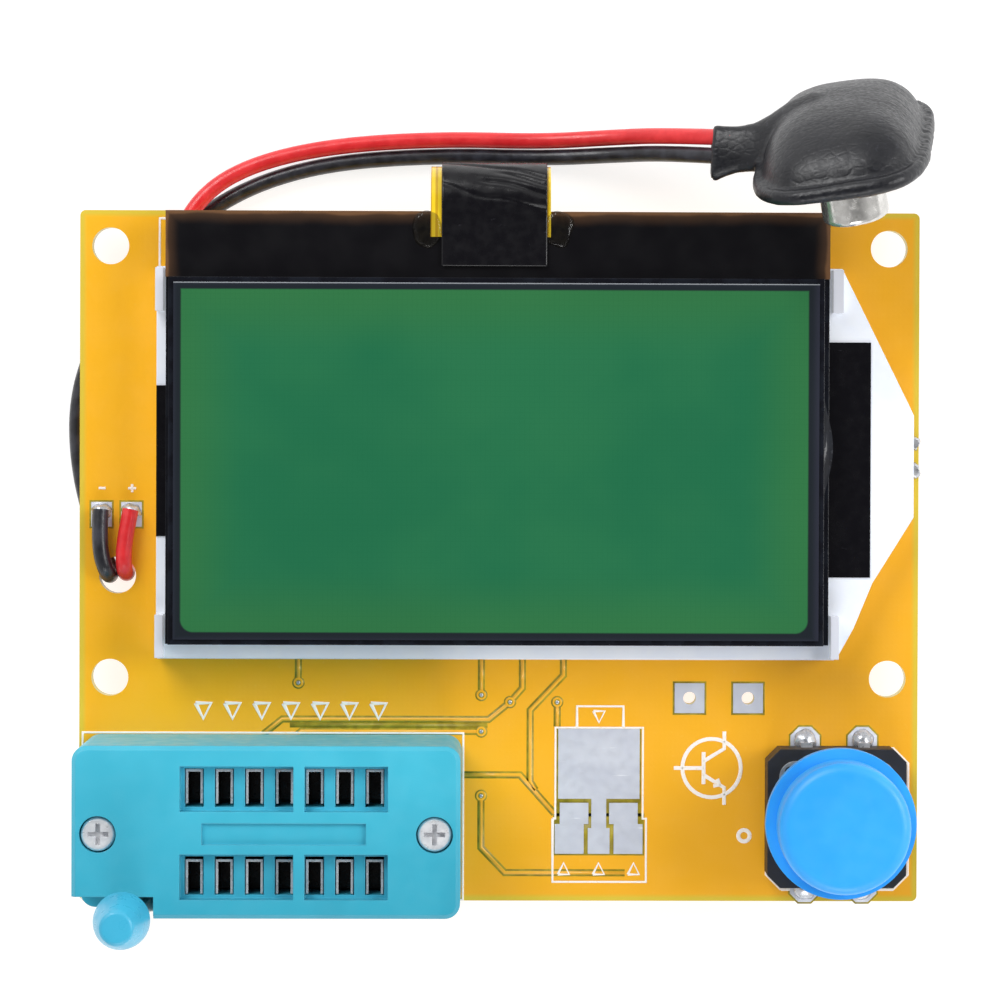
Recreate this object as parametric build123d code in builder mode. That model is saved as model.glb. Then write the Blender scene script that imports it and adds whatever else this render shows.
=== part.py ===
"""Pocket component tester: a circuit board with a graphic display, a lever-operated test socket,
a push button and a clip for a 9 V battery at the end of two wires. All sizes are in millimetres.

The frame: +X along the board's long side, +Y away from the button and the socket, +Z up from the
table. Plans are drawn from the board's centre, so every sketch plane comes from level() or side().
"""
import math
import os

from build123d import *

os.makedirs("parts", exist_ok=True)

# --- Board -----------------------------------------------------------------------------------------
BOARD_LENGTH = 73.0
BOARD_WIDTH = 60.0
BOARD_THICK = 1.6
BOARD_CORNER = 0.5
PIN_LENGTH = 3.0                      # what sticks out below the board and carries it
BOARD_TOP = PIN_LENGTH + BOARD_THICK
MOUNT_HOLE_R = 1.6
MOUNT_PITCH_X = 67.7
MOUNT_PITCH_Y = 37.5
MOUNT_CENTRE_Y = 8.15
RELIEF_HOLE = (-33.2, -1.7)           # the wires pass down through this hole
BATTERY_PADS = [(-34.6, 3.6), (-32.0, 3.6)]
TEST_PADS = [(16.6, -12.3), (21.7, -12.3)]
TEST_PAD_SIDE = 2.6
TEST_PAD_HOLE_R = 0.55
COPPER = 0.06
PIN_HOLE_R = 0.45

# --- Display ---------------------------------------------------------------------------------------
GUIDE_LEFT, GUIDE_RIGHT = -29.6, 29.5
GUIDE_FRONT, GUIDE_BACK = -8.7, 25.05
GUIDE_THICK = 2.85
REFLECTOR_THICK = 0.15
WING_TIP_X = 35.75
LED_LENGTH, LED_WIDTH, LED_HEIGHT = 2.0, 6.0, 2.2
LED_LEAD_Y = (7.6, 9.95)
GLASS_THICK = 1.1
POLARIZER_THICK = 0.2
REAR_GLASS = (-28.7, 28.3, -7.4, 29.8)       # left, right, front, back
FRONT_GLASS = (-28.4, 27.8, -7.4, 24.1)
CHIP_LENGTH, CHIP_WIDTH, CHIP_THICK = 20.0, 1.3, 0.4
LEDGE_TAPE_THICK = 0.5
FLEX_LEFT, FLEX_RIGHT = -6.0, 4.3
FLEX_THICK = 0.12
FLEX_TAPE_LEFT, FLEX_TAPE_RIGHT = -5.06, 3.99
FLEX_TAPE_THICK = 0.1
FLEX_REACH = 33.9                     # the fold's furthest point behind the board's centre

# --- Test socket -----------------------------------------------------------------------------------
SOCKET_CENTRE = (-19.6, -22.82)
SOCKET_LENGTH = 32.7
SOCKET_WIDTH = 14.55
SOCKET_CORNER_R = 1.3
SOCKET_BASE_HEIGHT = 6.0
SOCKET_HEIGHT = 11.5
CONTACT_CENTRE = (-18.1, -22.87)
CONTACT_PITCH = 2.54
CONTACT_COLUMNS = 7
ROW_PITCH = 7.62
WINDOW_X, WINDOW_Y = 1.6, 3.25
WINDOW_PITCH = 7.42                   # between the two rows of windows
TROUGH_LENGTH, TROUGH_WIDTH, TROUGH_DEPTH = 17.5, 3.82, 1.3
SCREW_X = (-33.75, -5.42)
SCREW_Y = -23.0
SCREW_HEAD_R = 1.45
SLIDER_TRAVEL = 1.0
SLIDER_THICK = 1.4
LEVER_X, LEVER_Y = -31.15, -29.46
SHAFT_R = 1.3
SHAFT_CLEARANCE = 0.04
CAM_R = 2.0
CAM_WIDTH = 2.0
CAM_ROWS = (-26.4, -19.4)
CAM_GAP = 0.3                         # between the cam and the slider's end
ARM_WIDTH, ARM_THICK = 3.0, 1.2
KNOB_R = 2.35
KNOB_TIP_R = 1.35
KNOB_START, KNOB_LENGTH = 10.0, 6.0   # measured up from the lever's axis
KNOB_LEAN = 5.0                       # degrees, towards the socket
NOTCH_DEPTH = 1.85                    # the socket's front corner is cut back for the arm

# --- Push button -----------------------------------------------------------------------------------
SWITCH_CENTRE = (29.2, -22.43)
SWITCH_SIDE = 12.0
SWITCH_CHAMFER = 1.1
SWITCH_HEIGHT = 3.5
SWITCH_FLOOR = 0.8
SWITCH_CAVITY_R = 4.2
PLATE_SIDE, PLATE_THICK = 10.0, 0.3
LEG_PITCH_X, LEG_PITCH_Y = 5.0, 12.5
LEG_WIDTH, LEG_THICK = 1.0, 0.3
LEG_HOLE_R = 0.65
DOME_R, DOME_HEIGHT, DOME_THICK = 3.4, 0.7, 0.15
STEM_SIDE = 3.8
CAP_FLANGE_R, CAP_R = 6.45, 5.6
CAP_EDGE_R = 0.9
CAP_BOTTOM, CAP_TOP = 6.6, 12.0       # measured up from the board

# --- Battery wires and snap ------------------------------------------------------------------------
WIRE_R = 0.7
SNAP_CENTRE = (29.9, 35.1, 12.3)
SNAP_TURN, SNAP_LEAN, SNAP_ROLL = 12.0, 108.0, 12.0     # degrees
SNAP_LENGTH, SNAP_WIDTH = 25.0, 13.0
SNAP_FRONT, SNAP_BACK = 0.8, -3.0     # the cover's faces, from the snap board's middle plane
TERMINAL_PITCH = 12.7
STUD_R, STUD_HEIGHT = 2.8, 3.4
SOCKET_R, SOCKET_BORE_R = 3.9, 2.85
TAB_BOX = (18.2, 25.0, 33.2, 37.4, 9.2, 11.4)           # left, right, front, back, bottom, top

# --- Worked out from the sizes above ---------------------------------------------------------------
BOARD_Y = -(FLEX_REACH + LEVER_Y - KNOB_R) / 2          # centres the object on Y = 0
GLASS_BOTTOM = BOARD_TOP + REFLECTOR_THICK + GUIDE_THICK
LEDGE_TOP = GLASS_BOTTOM + POLARIZER_THICK + GLASS_THICK
PIVOT_Z = BOARD_TOP + SOCKET_BASE_HEIGHT
SOCKET_TOP = BOARD_TOP + SOCKET_HEIGHT
SOCKET_LEFT = SOCKET_CENTRE[0] - SOCKET_LENGTH / 2
SOCKET_FRONT = SOCKET_CENTRE[1] - SOCKET_WIDTH / 2
SLIDER_LEFT = LEVER_X + CAM_R + CAM_GAP
SLIDER_RIGHT = CONTACT_CENTRE[0] + CONTACT_COLUMNS * CONTACT_PITCH / 2 + 1.0
SLIDER_WIDTH = SOCKET_WIDTH - 2.4
SLIDER_TOP = PIVOT_Z - 0.1


def level(height):
    """A horizontal plane at a height above the table, with its origin over the board's centre."""
    return Plane(origin=(0, BOARD_Y, height))


def side(x=0.0, y=0.0, z=0.0):
    """An upright plane seen from the front: local x is +X, local y is up, its normal is -Y."""
    return Plane(origin=(x, BOARD_Y + y, z), x_dir=(1, 0, 0), z_dir=(0, -1, 0))


def end_view(x):
    """An upright plane across the board at x: local x is the board's Y, local y is the height."""
    return Plane(origin=(x, BOARD_Y, 0), x_dir=(0, 1, 0), z_dir=(1, 0, 0))


def span_rectangle(left, right, front, back, mode=Mode.ADD):
    """A rectangle given by its four edges, measured from the board's centre."""
    with Locations(((left + right) / 2, (front + back) / 2)):
        Rectangle(right - left, back - front, mode=mode)


def save(piece, name):
    """Label a finished piece and write its STEP file."""
    piece.part.label = name
    export_step(piece.part, f"parts/{name}.step")


CONTACTS = [
    (CONTACT_CENTRE[0] + column * CONTACT_PITCH, CONTACT_CENTRE[1] + row * ROW_PITCH / 2)
    for row in (1, -1)
    for column in range(-(CONTACT_COLUMNS // 2), CONTACT_COLUMNS // 2 + 1)
]
LEGS = [
    (SWITCH_CENTRE[0] + sx * LEG_PITCH_X / 2, SWITCH_CENTRE[1] + sy * LEG_PITCH_Y / 2)
    for sx in (-1, 1)
    for sy in (-1, 1)
]
CRYSTAL_CENTRE = (8.0, 18.0)
CRYSTAL_LENGTH, CRYSTAL_WIDTH = 11.0, 4.6
CRYSTAL_LEADS = [(CRYSTAL_CENTRE[0] + s * 2.44, CRYSTAL_CENTRE[1]) for s in (-1, 1)]
LEAD_R = 0.22


# --- Circuit board ---------------------------------------------------------------------------------
with BuildPart() as circuit_board:
    with BuildSketch(level(PIN_LENGTH)):
        RectangleRounded(BOARD_LENGTH, BOARD_WIDTH, BOARD_CORNER)
        with Locations((0, MOUNT_CENTRE_Y)):
            with GridLocations(MOUNT_PITCH_X, MOUNT_PITCH_Y, 2, 2):
                Circle(MOUNT_HOLE_R, mode=Mode.SUBTRACT)
        with Locations(RELIEF_HOLE):
            Circle(MOUNT_HOLE_R, mode=Mode.SUBTRACT)
        with Locations(*TEST_PADS):
            Circle(TEST_PAD_HOLE_R, mode=Mode.SUBTRACT)
        with Locations(*CONTACTS, *CRYSTAL_LEADS):
            Circle(PIN_HOLE_R, mode=Mode.SUBTRACT)
        with Locations(*LEGS):
            Circle(LEG_HOLE_R, mode=Mode.SUBTRACT)
    extrude(amount=BOARD_THICK)
save(circuit_board, "circuit_board")

# The three bare pads that a surface-mount part is pressed onto.
PAD_AXIS_X = 8.72
PAD_FRONT, PAD_STEP, PAD_BACK = -25.9, -23.3, -21.45
with BuildPart() as smd_test_pads:
    with BuildSketch(level(BOARD_TOP)):
        span_rectangle(PAD_AXIS_X - 3.55, PAD_AXIS_X + 3.55, -21.1, -15.0)
        span_rectangle(PAD_AXIS_X - 0.65, PAD_AXIS_X + 0.65, -23.7, -21.1)
        span_rectangle(PAD_AXIS_X - 0.95, PAD_AXIS_X + 0.95, PAD_FRONT, -23.65)
        for hand in (-1, 1):
            inner = sorted((PAD_AXIS_X + hand * 0.9, PAD_AXIS_X + hand * 3.4))
            outer = sorted((PAD_AXIS_X + hand * 1.3, PAD_AXIS_X + hand * 3.83))
            span_rectangle(*inner, PAD_STEP, PAD_BACK)
            span_rectangle(*outer, PAD_FRONT, PAD_STEP)
    extrude(amount=COPPER)
save(smd_test_pads, "smd_test_pads")

with BuildPart() as square_test_pads:
    with BuildSketch(level(BOARD_TOP)):
        with Locations(*TEST_PADS):
            Rectangle(TEST_PAD_SIDE, TEST_PAD_SIDE)
            Circle(TEST_PAD_HOLE_R, mode=Mode.SUBTRACT)
    extrude(amount=COPPER)
save(square_test_pads, "square_test_pads")


# --- Display: back light ---------------------------------------------------------------------------
def guide_outline():
    """The light guide's plan: a rectangle with a wing that narrows towards the lamp."""
    with BuildLine() as edge:
        Polyline(
            (GUIDE_LEFT, GUIDE_FRONT),
            (29.1, GUIDE_FRONT),
            (30.6, -6.0),
            (32.2, -2.1),
            (WING_TIP_X, 3.6),
            (WING_TIP_X, 12.4),
            (35.15, 13.65),
            (GUIDE_RIGHT, GUIDE_BACK),
            (GUIDE_LEFT, GUIDE_BACK),
            close=True,
        )
    make_face(edge.line.edges())


LED_CENTRE_Y = sum(LED_LEAD_Y) / 2
LED_RIGHT = WING_TIP_X - 0.6
LED_LEFT = LED_RIGHT - LED_LENGTH

with BuildPart() as backlight_reflector:
    with BuildSketch(level(BOARD_TOP)):
        guide_outline()
        span_rectangle(LED_LEFT, WING_TIP_X, LED_CENTRE_Y - 3.2, LED_CENTRE_Y + 3.2, Mode.SUBTRACT)
    extrude(amount=REFLECTOR_THICK)
save(backlight_reflector, "backlight_reflector")

CLIP_HEIGHT = 1.6
with BuildPart() as backlight_guide:
    with BuildSketch(level(BOARD_TOP + REFLECTOR_THICK)):
        guide_outline()
    extrude(amount=GUIDE_THICK)
    # corner clips that keep the glass from sliding
    with BuildSketch(level(GLASS_BOTTOM)):
        span_rectangle(28.6, 29.5, 21.2, 24.9)
        span_rectangle(28.5, 29.2, -8.6, -4.9)
        span_rectangle(GUIDE_LEFT, -28.9, 21.2, 24.9)
        span_rectangle(GUIDE_LEFT, -28.9, -8.6, -4.9)
    extrude(amount=CLIP_HEIGHT)
    # pocket for the lamp, open below, with a way out for its two leads
    with BuildSketch(level(BOARD_TOP + REFLECTOR_THICK)):
        span_rectangle(LED_LEFT - 0.05, LED_RIGHT + 0.05, LED_CENTRE_Y - 3.05, LED_CENTRE_Y + 3.05)
    extrude(amount=LED_HEIGHT, mode=Mode.SUBTRACT)
    with BuildSketch(level(BOARD_TOP + REFLECTOR_THICK)):
        for lead_y in LED_LEAD_Y:
            span_rectangle(LED_RIGHT, WING_TIP_X + 0.1, lead_y - 0.35, lead_y + 0.35)
    extrude(amount=0.6, mode=Mode.SUBTRACT)
save(backlight_guide, "backlight_guide")

with BuildPart() as backlight_led:
    with BuildSketch(level(BOARD_TOP)):
        half_width = LED_WIDTH / 2
        span_rectangle(LED_LEFT, LED_RIGHT, LED_CENTRE_Y - half_width, LED_CENTRE_Y + half_width)
    extrude(amount=LED_HEIGHT)
save(backlight_led, "backlight_led")

# Two flat leads run from the lamp over the board and end in solder at its edge.
with BuildPart() as backlight_leads:
    with BuildSketch(level(BOARD_TOP)):
        for lead_y in LED_LEAD_Y:
            span_rectangle(LED_RIGHT, 36.1, lead_y - 0.25, lead_y + 0.25)
    extrude(amount=0.35)
    with BuildSketch(level(BOARD_TOP)):
        with Locations(*[(36.05, lead_y) for lead_y in LED_LEAD_Y]):
            Circle(0.43)
    extrude(amount=0.55)
save(backlight_leads, "backlight_leads")

# --- Display: glass --------------------------------------------------------------------------------
VIEW_MARGIN = 0.45


def glass_sheet(edges, bottom, thick, inset=0.0):
    """A flat sheet over a glass plate's edges, drawn in by an inset."""
    left, right, front, back = edges
    with BuildSketch(level(bottom)) as plan:
        span_rectangle(left + inset, right - inset, front + inset, back - inset)
    extrude(plan.sketch, amount=thick)


with BuildPart() as lcd_rear_polarizer:
    glass_sheet(FRONT_GLASS, GLASS_BOTTOM, POLARIZER_THICK, VIEW_MARGIN)
save(lcd_rear_polarizer, "lcd_rear_polarizer")

with BuildPart() as lcd_rear_glass:
    glass_sheet(REAR_GLASS, GLASS_BOTTOM + POLARIZER_THICK, GLASS_THICK)
save(lcd_rear_glass, "lcd_rear_glass")

with BuildPart() as lcd_front_glass:
    glass_sheet(FRONT_GLASS, LEDGE_TOP, GLASS_THICK)
save(lcd_front_glass, "lcd_front_glass")

with BuildPart() as lcd_front_polarizer:
    glass_sheet(FRONT_GLASS, LEDGE_TOP + GLASS_THICK, POLARIZER_THICK, VIEW_MARGIN)
save(lcd_front_polarizer, "lcd_front_polarizer")

CHIP_Y = 26.2
with BuildPart() as lcd_driver_chip:
    with BuildSketch(level(LEDGE_TOP)):
        with Locations((-0.9, CHIP_Y)):
            Rectangle(CHIP_LENGTH, CHIP_WIDTH)
    extrude(amount=CHIP_THICK)
save(lcd_driver_chip, "lcd_driver_chip")

with BuildPart() as lcd_ledge_tape:
    with BuildSketch(level(LEDGE_TOP)):
        span_rectangle(REAR_GLASS[0], REAR_GLASS[1], FRONT_GLASS[3], REAR_GLASS[3])
    extrude(amount=LEDGE_TAPE_THICK)
    with BuildSketch(level(LEDGE_TOP)):
        with Locations((-0.9, CHIP_Y)):
            Rectangle(CHIP_LENGTH, CHIP_WIDTH)
    extrude(amount=CHIP_THICK, mode=Mode.SUBTRACT)
save(lcd_ledge_tape, "lcd_ledge_tape")


# --- Display: flexible cable -----------------------------------------------------------------------
FLEX_TOP = LEDGE_TOP + LEDGE_TAPE_THICK
FLEX_UNDER = PIN_LENGTH                        # the cable comes back against the board's underside
FOLD_R = (FLEX_TOP - FLEX_UNDER) / 2           # the fold's inner radius
FOLD_Z = (FLEX_TOP + FLEX_UNDER) / 2
FOLD_Y = FLEX_REACH - FOLD_R - FLEX_THICK - FLEX_TAPE_THICK


def folded_strip(left, right, inner_r, thick, start_y, end_y):
    """A strip that runs along the ledge, folds over the board's edge and comes back underneath."""
    outer_r = inner_r + thick
    with BuildSketch(end_view(left)) as profile:
        with BuildLine():
            Line((start_y, FOLD_Z + inner_r), (FOLD_Y, FOLD_Z + inner_r))
            ThreePointArc(
                (FOLD_Y, FOLD_Z + inner_r), (FOLD_Y + inner_r, FOLD_Z), (FOLD_Y, FOLD_Z - inner_r)
            )
            Line((FOLD_Y, FOLD_Z - inner_r), (end_y, FOLD_Z - inner_r))
            Line((end_y, FOLD_Z - inner_r), (end_y, FOLD_Z - outer_r))
            Line((end_y, FOLD_Z - outer_r), (FOLD_Y, FOLD_Z - outer_r))
            ThreePointArc(
                (FOLD_Y, FOLD_Z - outer_r), (FOLD_Y + outer_r, FOLD_Z), (FOLD_Y, FOLD_Z + outer_r)
            )
            Line((FOLD_Y, FOLD_Z + outer_r), (start_y, FOLD_Z + outer_r))
            Line((start_y, FOLD_Z + outer_r), (start_y, FOLD_Z + inner_r))
        make_face()
    extrude(profile.sketch, amount=right - left)


with BuildPart() as lcd_flex_cable:
    folded_strip(FLEX_LEFT, FLEX_RIGHT, FOLD_R, FLEX_THICK, 27.6, 25.6)
save(lcd_flex_cable, "lcd_flex_cable")

with BuildPart() as lcd_flex_tape:
    folded_strip(FLEX_TAPE_LEFT, FLEX_TAPE_RIGHT, FOLD_R + FLEX_THICK, FLEX_TAPE_THICK, 25.1, 28.4)
save(lcd_flex_tape, "lcd_flex_tape")

SIDE_TAPE_THICK = 0.12
with BuildPart() as lcd_left_tape:
    with BuildSketch(level(GLASS_BOTTOM)):
        span_rectangle(GUIDE_LEFT, REAR_GLASS[0] - 0.02, 1.8, 14.8)
    extrude(amount=SIDE_TAPE_THICK)
save(lcd_left_tape, "lcd_left_tape")

with BuildPart() as lcd_right_tape:
    with BuildSketch(level(GLASS_BOTTOM)):
        span_rectangle(REAR_GLASS[1] + 0.02, 32.0, -1.6, 18.7)
    extrude(amount=SIDE_TAPE_THICK)
save(lcd_right_tape, "lcd_right_tape")

# --- Test socket -----------------------------------------------------------------------------------
CAM_ROOM = 0.15
NOTCH_RIGHT = LEVER_X + 2.1
NOTCH_BACK = SOCKET_FRONT + NOTCH_DEPTH
SHAFT_BACK = -16.9
BASE_FLOOR = 1.2
SCREW_BORE_R = 0.95
SCREW_SHANK_R = 0.85
SCREWS = [(x, SCREW_Y) for x in SCREW_X]


def cut_shaft_bore():
    """Cut the room that the lever's shaft turns in, half in the base and half in the cover."""
    with BuildSketch(side(LEVER_X, SHAFT_BACK + 0.1, PIVOT_Z)) as bore:
        Circle(SHAFT_R + SHAFT_CLEARANCE)
    extrude(bore.sketch, amount=SOCKET_WIDTH, mode=Mode.SUBTRACT)


def cut_corner_notch(bottom, top):
    """Cut the socket's front left corner away between two heights."""
    with BuildSketch(level(bottom)) as notch:
        span_rectangle(SOCKET_LEFT - 1, NOTCH_RIGHT, SOCKET_FRONT - 1, NOTCH_BACK)
    extrude(notch.sketch, amount=top - bottom, mode=Mode.SUBTRACT)


def cut_cam_rooms(bottom, top):
    """Cut the room that each cam swings in between two heights."""
    right = LEVER_X + SLIDER_TRAVEL + CAM_R + CAM_ROOM
    with BuildSketch(level(bottom)) as rooms:
        for cam_y in CAM_ROWS:
            half = CAM_WIDTH / 2 + CAM_ROOM
            span_rectangle(LEVER_X - CAM_R - CAM_ROOM, right, cam_y - half, cam_y + half)
    extrude(rooms.sketch, amount=top - bottom, mode=Mode.SUBTRACT)


with BuildPart() as zif_base:
    with BuildSketch(level(BOARD_TOP)):
        with Locations(SOCKET_CENTRE):
            Rectangle(SOCKET_LENGTH, SOCKET_WIDTH)
    extrude(amount=SOCKET_BASE_HEIGHT)
    fillet(zif_base.edges().filter_by(Axis.Z), SOCKET_CORNER_R)
    cut_shaft_bore()
    cut_corner_notch(PIVOT_Z - 2.1, PIVOT_Z + 1)
    cut_cam_rooms(PIVOT_Z - SLIDER_TRAVEL - CAM_R - CAM_ROOM, PIVOT_Z + 1)
    # bed that the slider moves in
    with BuildSketch(level(SLIDER_TOP - SLIDER_THICK - 0.05)):
        bed_half = SLIDER_WIDTH / 2 + 0.1
        bed_front = SOCKET_CENTRE[1] - bed_half
        bed_back = SOCKET_CENTRE[1] + bed_half
        span_rectangle(SLIDER_LEFT - 0.3, SLIDER_RIGHT + SLIDER_TRAVEL + 0.3, bed_front, bed_back)
    extrude(amount=SLIDER_THICK + 1, mode=Mode.SUBTRACT)
    # a slot for each contact, right through the floor
    with BuildSketch(level(BOARD_TOP)):
        with Locations(*CONTACTS):
            Rectangle(0.6, 0.7)
    extrude(amount=SOCKET_BASE_HEIGHT, mode=Mode.SUBTRACT)
    with BuildSketch(level(BOARD_TOP + BASE_FLOOR)):
        with Locations(*SCREWS):
            Circle(SCREW_BORE_R)
    extrude(amount=SOCKET_BASE_HEIGHT, mode=Mode.SUBTRACT)
save(zif_base, "zif_base")

with BuildPart() as zif_slider:
    with BuildSketch(level(SLIDER_TOP - SLIDER_THICK)):
        slider_front = SOCKET_CENTRE[1] - SLIDER_WIDTH / 2
        span_rectangle(SLIDER_LEFT, SLIDER_RIGHT, slider_front, slider_front + SLIDER_WIDTH)
        # each opening leaves its contact free over the whole travel
        with Locations(*[(x - SLIDER_TRAVEL / 2, y) for x, y in CONTACTS]):
            Rectangle(SLIDER_TRAVEL + 0.7, 1.7, mode=Mode.SUBTRACT)
    extrude(amount=SLIDER_THICK)
save(zif_slider, "zif_slider")

COVER_CHAMFER = 0.35
LABEL_RECESS = (-25.0, -11.2, -23.85, -22.05)
COUNTERBORE_DEPTH = 1.2
with BuildPart() as zif_cover:
    with BuildSketch(level(PIVOT_Z)):
        with Locations(SOCKET_CENTRE):
            Rectangle(SOCKET_LENGTH, SOCKET_WIDTH)
    extrude(amount=SOCKET_TOP - PIVOT_Z)
    fillet(zif_cover.edges().filter_by(Axis.Z), SOCKET_CORNER_R)
    chamfer(zif_cover.faces().sort_by(Axis.Z)[-1].edges(), COVER_CHAMFER)
    cut_shaft_bore()
    cut_corner_notch(PIVOT_Z - 1, SOCKET_TOP + 1)
    cut_cam_rooms(PIVOT_Z - 1, PIVOT_Z + CAM_R + CAM_ROOM)
    # two troughs, each bridged at full height between its fourth and fifth windows
    bridge_x = CONTACT_CENTRE[0] + CONTACT_PITCH / 2
    with BuildSketch(level(SOCKET_TOP - TROUGH_DEPTH)):
        for row in (-1, 1):
            trough_y = CONTACT_CENTRE[1] + row * WINDOW_PITCH / 2
            with Locations((CONTACT_CENTRE[0], trough_y)):
                Rectangle(TROUGH_LENGTH, TROUGH_WIDTH)
            with Locations((bridge_x, trough_y)):
                Rectangle(CONTACT_PITCH - WINDOW_X, TROUGH_WIDTH, mode=Mode.SUBTRACT)
    extrude(amount=TROUGH_DEPTH, mode=Mode.SUBTRACT)
    with BuildSketch(level(PIVOT_Z)):
        with Locations(CONTACT_CENTRE):
            with GridLocations(CONTACT_PITCH, WINDOW_PITCH, CONTACT_COLUMNS, 2):
                Rectangle(WINDOW_X, WINDOW_Y)
    extrude(amount=SOCKET_HEIGHT, mode=Mode.SUBTRACT)
    with BuildSketch(level(SOCKET_TOP - 0.3)):
        span_rectangle(*LABEL_RECESS)
    extrude(amount=1, mode=Mode.SUBTRACT)
    with BuildSketch(level(PIVOT_Z)):
        with Locations(*SCREWS):
            Circle(SCREW_BORE_R)
    extrude(amount=SOCKET_HEIGHT, mode=Mode.SUBTRACT)
    with BuildSketch(level(SOCKET_TOP - COUNTERBORE_DEPTH)):
        with Locations(*SCREWS):
            Circle(SCREW_HEAD_R + 0.1)
    extrude(amount=SOCKET_HEIGHT, mode=Mode.SUBTRACT)
save(zif_cover, "zif_cover")

SCREW_HEAD_HEIGHT = 0.9
with BuildPart() as zif_screws:
    with BuildSketch(level(BOARD_TOP + BASE_FLOOR + 0.3)):
        with Locations(*SCREWS):
            Circle(SCREW_SHANK_R)
    extrude(amount=SOCKET_HEIGHT - BASE_FLOOR - 0.3 - COUNTERBORE_DEPTH)
    with BuildSketch(level(SOCKET_TOP - COUNTERBORE_DEPTH)):
        with Locations(*SCREWS):
            Circle(SCREW_HEAD_R)
    extrude(amount=SCREW_HEAD_HEIGHT)
    fillet(zif_screws.faces().group_by(Axis.Z)[-1].edges(), 0.3)
    with BuildSketch(level(SOCKET_TOP - COUNTERBORE_DEPTH + 0.3)):
        with Locations(*SCREWS):
            Rectangle(1.8, 0.4)
            Rectangle(0.4, 1.8)
    extrude(amount=1, mode=Mode.SUBTRACT)
save(zif_screws, "zif_screws")

TAIL_X, TAIL_Y = 0.4, 0.5
FORK_X, FORK_Y, FORK_WALL = 1.45, 2.9, 0.2
FORK_BOTTOM, FORK_HEIGHT = PIVOT_Z + 0.4, 3.6
with BuildPart() as zif_contacts:
    with BuildSketch(level(0)):
        with Locations(*CONTACTS):
            Rectangle(TAIL_X, TAIL_Y)
    extrude(amount=FORK_BOTTOM)
    with BuildSketch(level(FORK_BOTTOM)):
        with Locations(*CONTACTS):
            Rectangle(FORK_X, FORK_Y)
    extrude(amount=FORK_HEIGHT)
    # the fork is open upwards and towards the front
    with BuildSketch(level(FORK_BOTTOM + FORK_WALL)):
        with Locations(*[(x, y - FORK_WALL) for x, y in CONTACTS]):
            Rectangle(FORK_X - 2 * FORK_WALL, FORK_Y)
    extrude(amount=FORK_HEIGHT, mode=Mode.SUBTRACT)
save(zif_contacts, "zif_contacts")

HUB_R = 1.9
ARM_REACH = KNOB_START + 2.6
with BuildPart() as zif_lever:
    arm_front = LEVER_Y - ARM_THICK / 2
    with BuildSketch(side(LEVER_X, arm_front + ARM_THICK, PIVOT_Z)):
        Circle(HUB_R)
        with Locations((0, ARM_REACH / 2)):
            Rectangle(ARM_WIDTH, ARM_REACH)
    extrude(amount=ARM_THICK)
    with BuildSketch(side(LEVER_X, SHAFT_BACK, PIVOT_Z)):
        Circle(SHAFT_R)
    extrude(amount=SHAFT_BACK - arm_front - ARM_THICK)
    for cam_y in CAM_ROWS:
        with BuildSketch(side(LEVER_X, cam_y + CAM_WIDTH / 2, PIVOT_Z - SLIDER_TRAVEL)):
            Circle(CAM_R)
        extrude(amount=CAM_WIDTH)
save(zif_lever, "zif_lever")

KNOB_BELLY = 1.2                      # the height of the knob's widest ring
with BuildPart() as zif_lever_knob:
    knob_plane = side(LEVER_X, LEVER_Y, PIVOT_Z + KNOB_START).rotated((0, 0, -KNOB_LEAN))
    with BuildSketch(knob_plane):
        with BuildLine():
            Line((0, KNOB_LENGTH), (0, 0))
            Line((0, 0), (KNOB_R - 0.5, 0))
            ThreePointArc((KNOB_R - 0.5, 0), (KNOB_R - 0.13, 0.45), (KNOB_R, KNOB_BELLY))
            Bezier(
                (KNOB_R, KNOB_BELLY),
                (KNOB_R, KNOB_BELLY + 1.4),
                (KNOB_TIP_R + 0.45, KNOB_LENGTH - 1.3),
                (KNOB_TIP_R, KNOB_LENGTH),
            )
            Line((KNOB_TIP_R, KNOB_LENGTH), (0, KNOB_LENGTH))
        make_face()
    revolve(axis=Axis(knob_plane.origin, knob_plane.y_dir))
    fillet(zif_lever_knob.faces().sort_by(Axis.Z)[-1].edges(), 0.35)
    with BuildSketch(Plane(origin=(LEVER_X, BOARD_Y + LEVER_Y, PIVOT_Z + KNOB_START - 1))):
        Rectangle(ARM_WIDTH, ARM_THICK)
    extrude(amount=ARM_REACH - KNOB_START + 1, mode=Mode.SUBTRACT)
save(zif_lever_knob, "zif_lever_knob")

# --- Push button -----------------------------------------------------------------------------------
PEGS = [
    (SWITCH_CENTRE[0] + sx * 4.1, SWITCH_CENTRE[1] + sy * 4.1)
    for sx in (-1, 1)
    for sy in (-1, 1)
]
PEG_R = 0.45
LEG_TOP = BOARD_TOP + 1.7
LEG_REACH = 1.6                       # how far a leg's top runs back into the housing
SWITCH_TOP = BOARD_TOP + SWITCH_HEIGHT


def leg_tops(mode):
    """The flat top of each leg, from outside the housing to inside its wall."""
    with BuildSketch(level(LEG_TOP - LEG_THICK)) as tops:
        for x, y in LEGS:
            outer = y + math.copysign(LEG_THICK / 2, y - SWITCH_CENTRE[1])
            inner = y - math.copysign(LEG_REACH, y - SWITCH_CENTRE[1])
            span_rectangle(x - LEG_WIDTH / 2, x + LEG_WIDTH / 2, *sorted((outer, inner)))
    extrude(tops.sketch, amount=LEG_THICK, mode=mode)


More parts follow.
